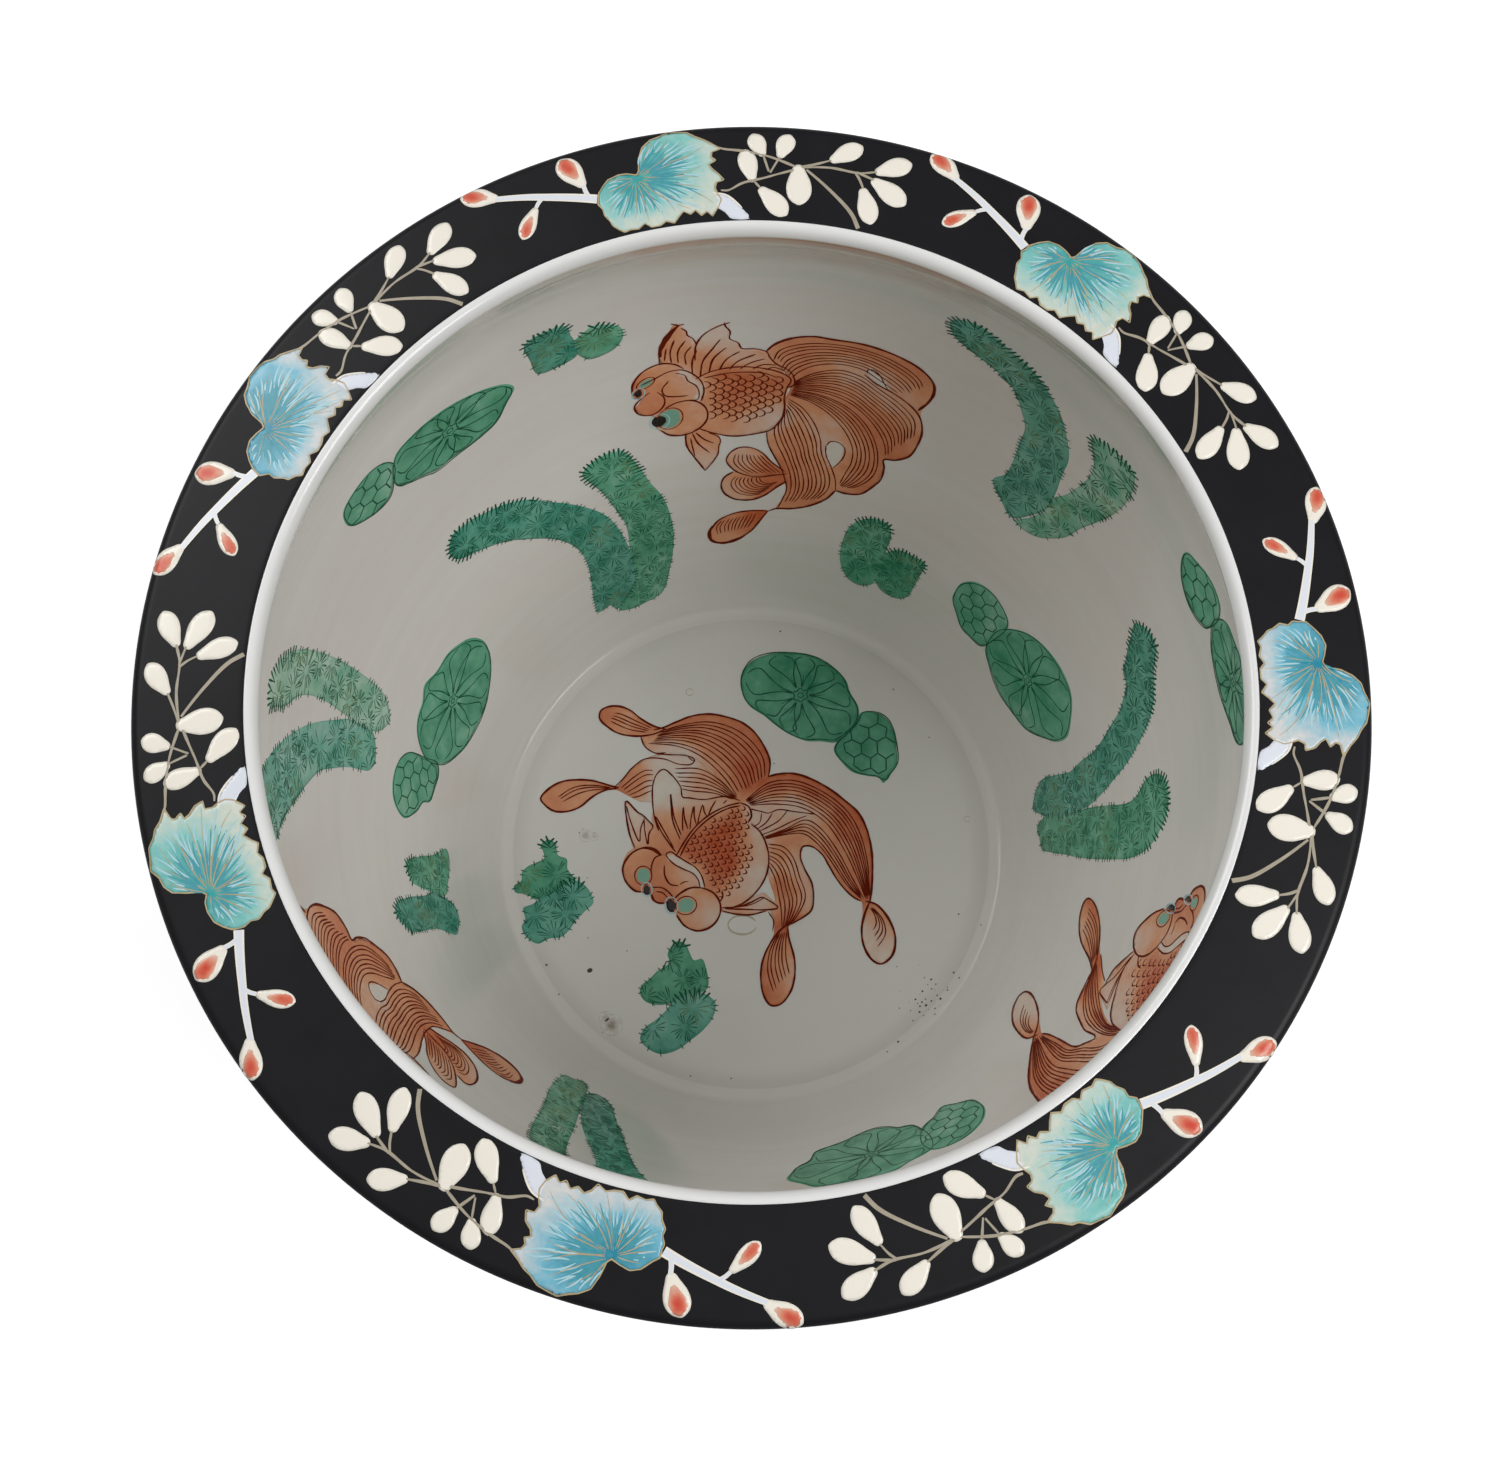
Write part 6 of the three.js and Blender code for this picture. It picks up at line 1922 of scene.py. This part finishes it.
@dataclass(frozen=True)
class VineBorder:
    """The vine sprays: seven on the black rim and three larger ones outside."""

    rim_turns: Run = (170.5, 121.4, 73.1, 21.2, -33.8, -84.2, -139.3)
    greener: tuple[int, ...] = (2, 3, 5, 7)
    outside_turns: Run = (30, 150, 270)

    def build(self) -> None:
        """Paint each spray as a leaf, a twig and its berries, or outside as one piece."""
        for number, turn in enumerate(self.rim_turns, 1):
            leaf = Paint.LEAF_GREENER if number in self.greener else Paint.LEAF
            for part, slot, paint, paints in (
                ("leaf", "turquoise_enamel", SPRAY.paint_leaf, (leaf,)),
                ("twig", "pale_blue_enamel", SPRAY.paint_twig, ()),
                ("berries", "cream_enamel", SPRAY.paint_berries, ()),
            ):
                painting = Painting(RimSheet(turn), hand=np.random.default_rng(SEED + number))
                paint(painting, *paints)
                painting.build(f"rim_{part}_{number}_enamel", slot, f"rim_{part}_{number}")
        for number, turn in enumerate(self.outside_turns, 1):
            spray = Painting(OutsideSheet(turn), hand=np.random.default_rng(SEED + 20 + number))
            SPRAY.paint_twig(spray)
            SPRAY.paint_leaf(spray, Paint.LEAF)
            spray.build(f"outer_spray_{number}_enamel", "turquoise_enamel", f"outer_spray_{number}")


@dataclass
class Studio:
    """The plain pale floor, the soft light and the camera of the photograph.

    The sky is its strength at the horizon and what overhead adds; each lamp has its place, watts and size.
    """

    camera_mm: Run = (-0.47, -173.15, 973.66)
    tilt: float = 0.23725398
    lens_mm: float = 49.79
    sensor_mm: float = 36.0
    near_metres: float = 0.01
    floor_radius: float = 6.0
    floor_gap: float = 0.0005
    sky: Run = (0.16, 0.4)
    lamps: tuple[tuple[Run, float, float], ...] = (
        ((850.0, -350.0, 1250.0), 7.5, 0.7), ((-700.0, 550.0, 1150.0), 4.4, 0.7),
    )

    def build(self) -> None:
        """Make the camera, the lights and the floor."""
        scene = bpy.context.scene
        scene.view_settings.view_transform = "Standard"
        camera = bpy.data.objects.new("camera", bpy.data.cameras.new("camera"))
        camera.location = [c * METRES for c in self.camera_mm]
        camera.rotation_euler = (self.tilt, 0, 0)
        camera.data.lens, camera.data.sensor_width = self.lens_mm, self.sensor_mm
        camera.data.clip_start = self.near_metres
        scene.collection.objects.link(camera)
        scene.camera = camera
        scene.world = self.world()
        for number, (place, watts, size) in enumerate(self.lamps, 1):
            lamp = bpy.data.lights.new(f"soft_lamp_{number}", "AREA")
            lamp.shape, lamp.size, lamp.energy = "DISK", size, watts
            holder = bpy.data.objects.new(lamp.name, lamp)
            holder.location = Vector(place) * METRES
            holder.rotation_mode = "QUATERNION"
            holder.rotation_quaternion = (-Vector(place)).to_track_quat("-Z", "Y")
            scene.collection.objects.link(holder)
        self.floor()

    def world(self) -> bpy.types.World:
        """Return light from all round, more from overhead; the camera sees plain white.

        Returns:
            The world.
        """
        world = bpy.data.worlds.new("plain_studio")
        tree = emptied_tree(world)
        path = add_node(tree, "LightPath").outputs["Is Camera Ray"]
        way = add_node(tree, "TexCoord").outputs["Generated"]
        up = add_node(tree, "SeparateXYZ", {0: way}).outputs["Z"]
        horizon, overhead = self.sky
        glow = add_node(tree, "Math", {0: up, 1: overhead, 2: horizon}, operation="MULTIPLY_ADD").outputs[0]
        strength = add_node(tree, "MapRange", {0: path, 3: glow, 4: 1.0}).outputs[0]
        sky = add_node(tree, "Background", {"Color": (1, 1, 1, 1), "Strength": strength})
        add_node(tree, "OutputWorld", {"Surface": sky.outputs[0]})
        return world

    def floor(self) -> None:
        """Lay a white disc under the foot that keeps the bowl's shadow."""
        material = bpy.data.materials.new("white_studio_floor")
        tree = emptied_tree(material)
        cloth = add_node(tree, "BsdfDiffuse", {"Color": linear("#F4F4F4")})
        path = add_node(tree, "LightPath").outputs["Is Camera Ray"]
        lift = add_node(tree, "Math", {0: path, 1: 0.5}, operation="MULTIPLY").outputs[0]
        glow = add_node(tree, "Emission", {"Color": (1, 1, 1, 1), "Strength": lift})
        both = add_node(tree, "AddShader", {0: cloth.outputs[0], 1: glow.outputs[0]})
        add_node(tree, "OutputMaterial", {"Surface": both.outputs[0]})
        ring = arc((0, 0), (self.floor_radius,), count=64)
        mesh = bpy.data.meshes.new("studio_floor")
        mesh.from_pydata([(x, y, 0) for x, y in ring.tolist()], [], [list(range(len(ring)))])
        mesh.materials.append(material)
        stage = bpy.data.objects.new("studio_floor", mesh)
        stage.location.z = -self.floor_gap
        bpy.context.scene.collection.objects.link(stage)


def main() -> None:
    """Build every piece in order."""
    logging.basicConfig(level=logging.INFO, format="%(message)s")
    Studio().build()
    Body().build()
    Pond().build()
    VineBorder().build()


if __name__ == "__main__":
    main()
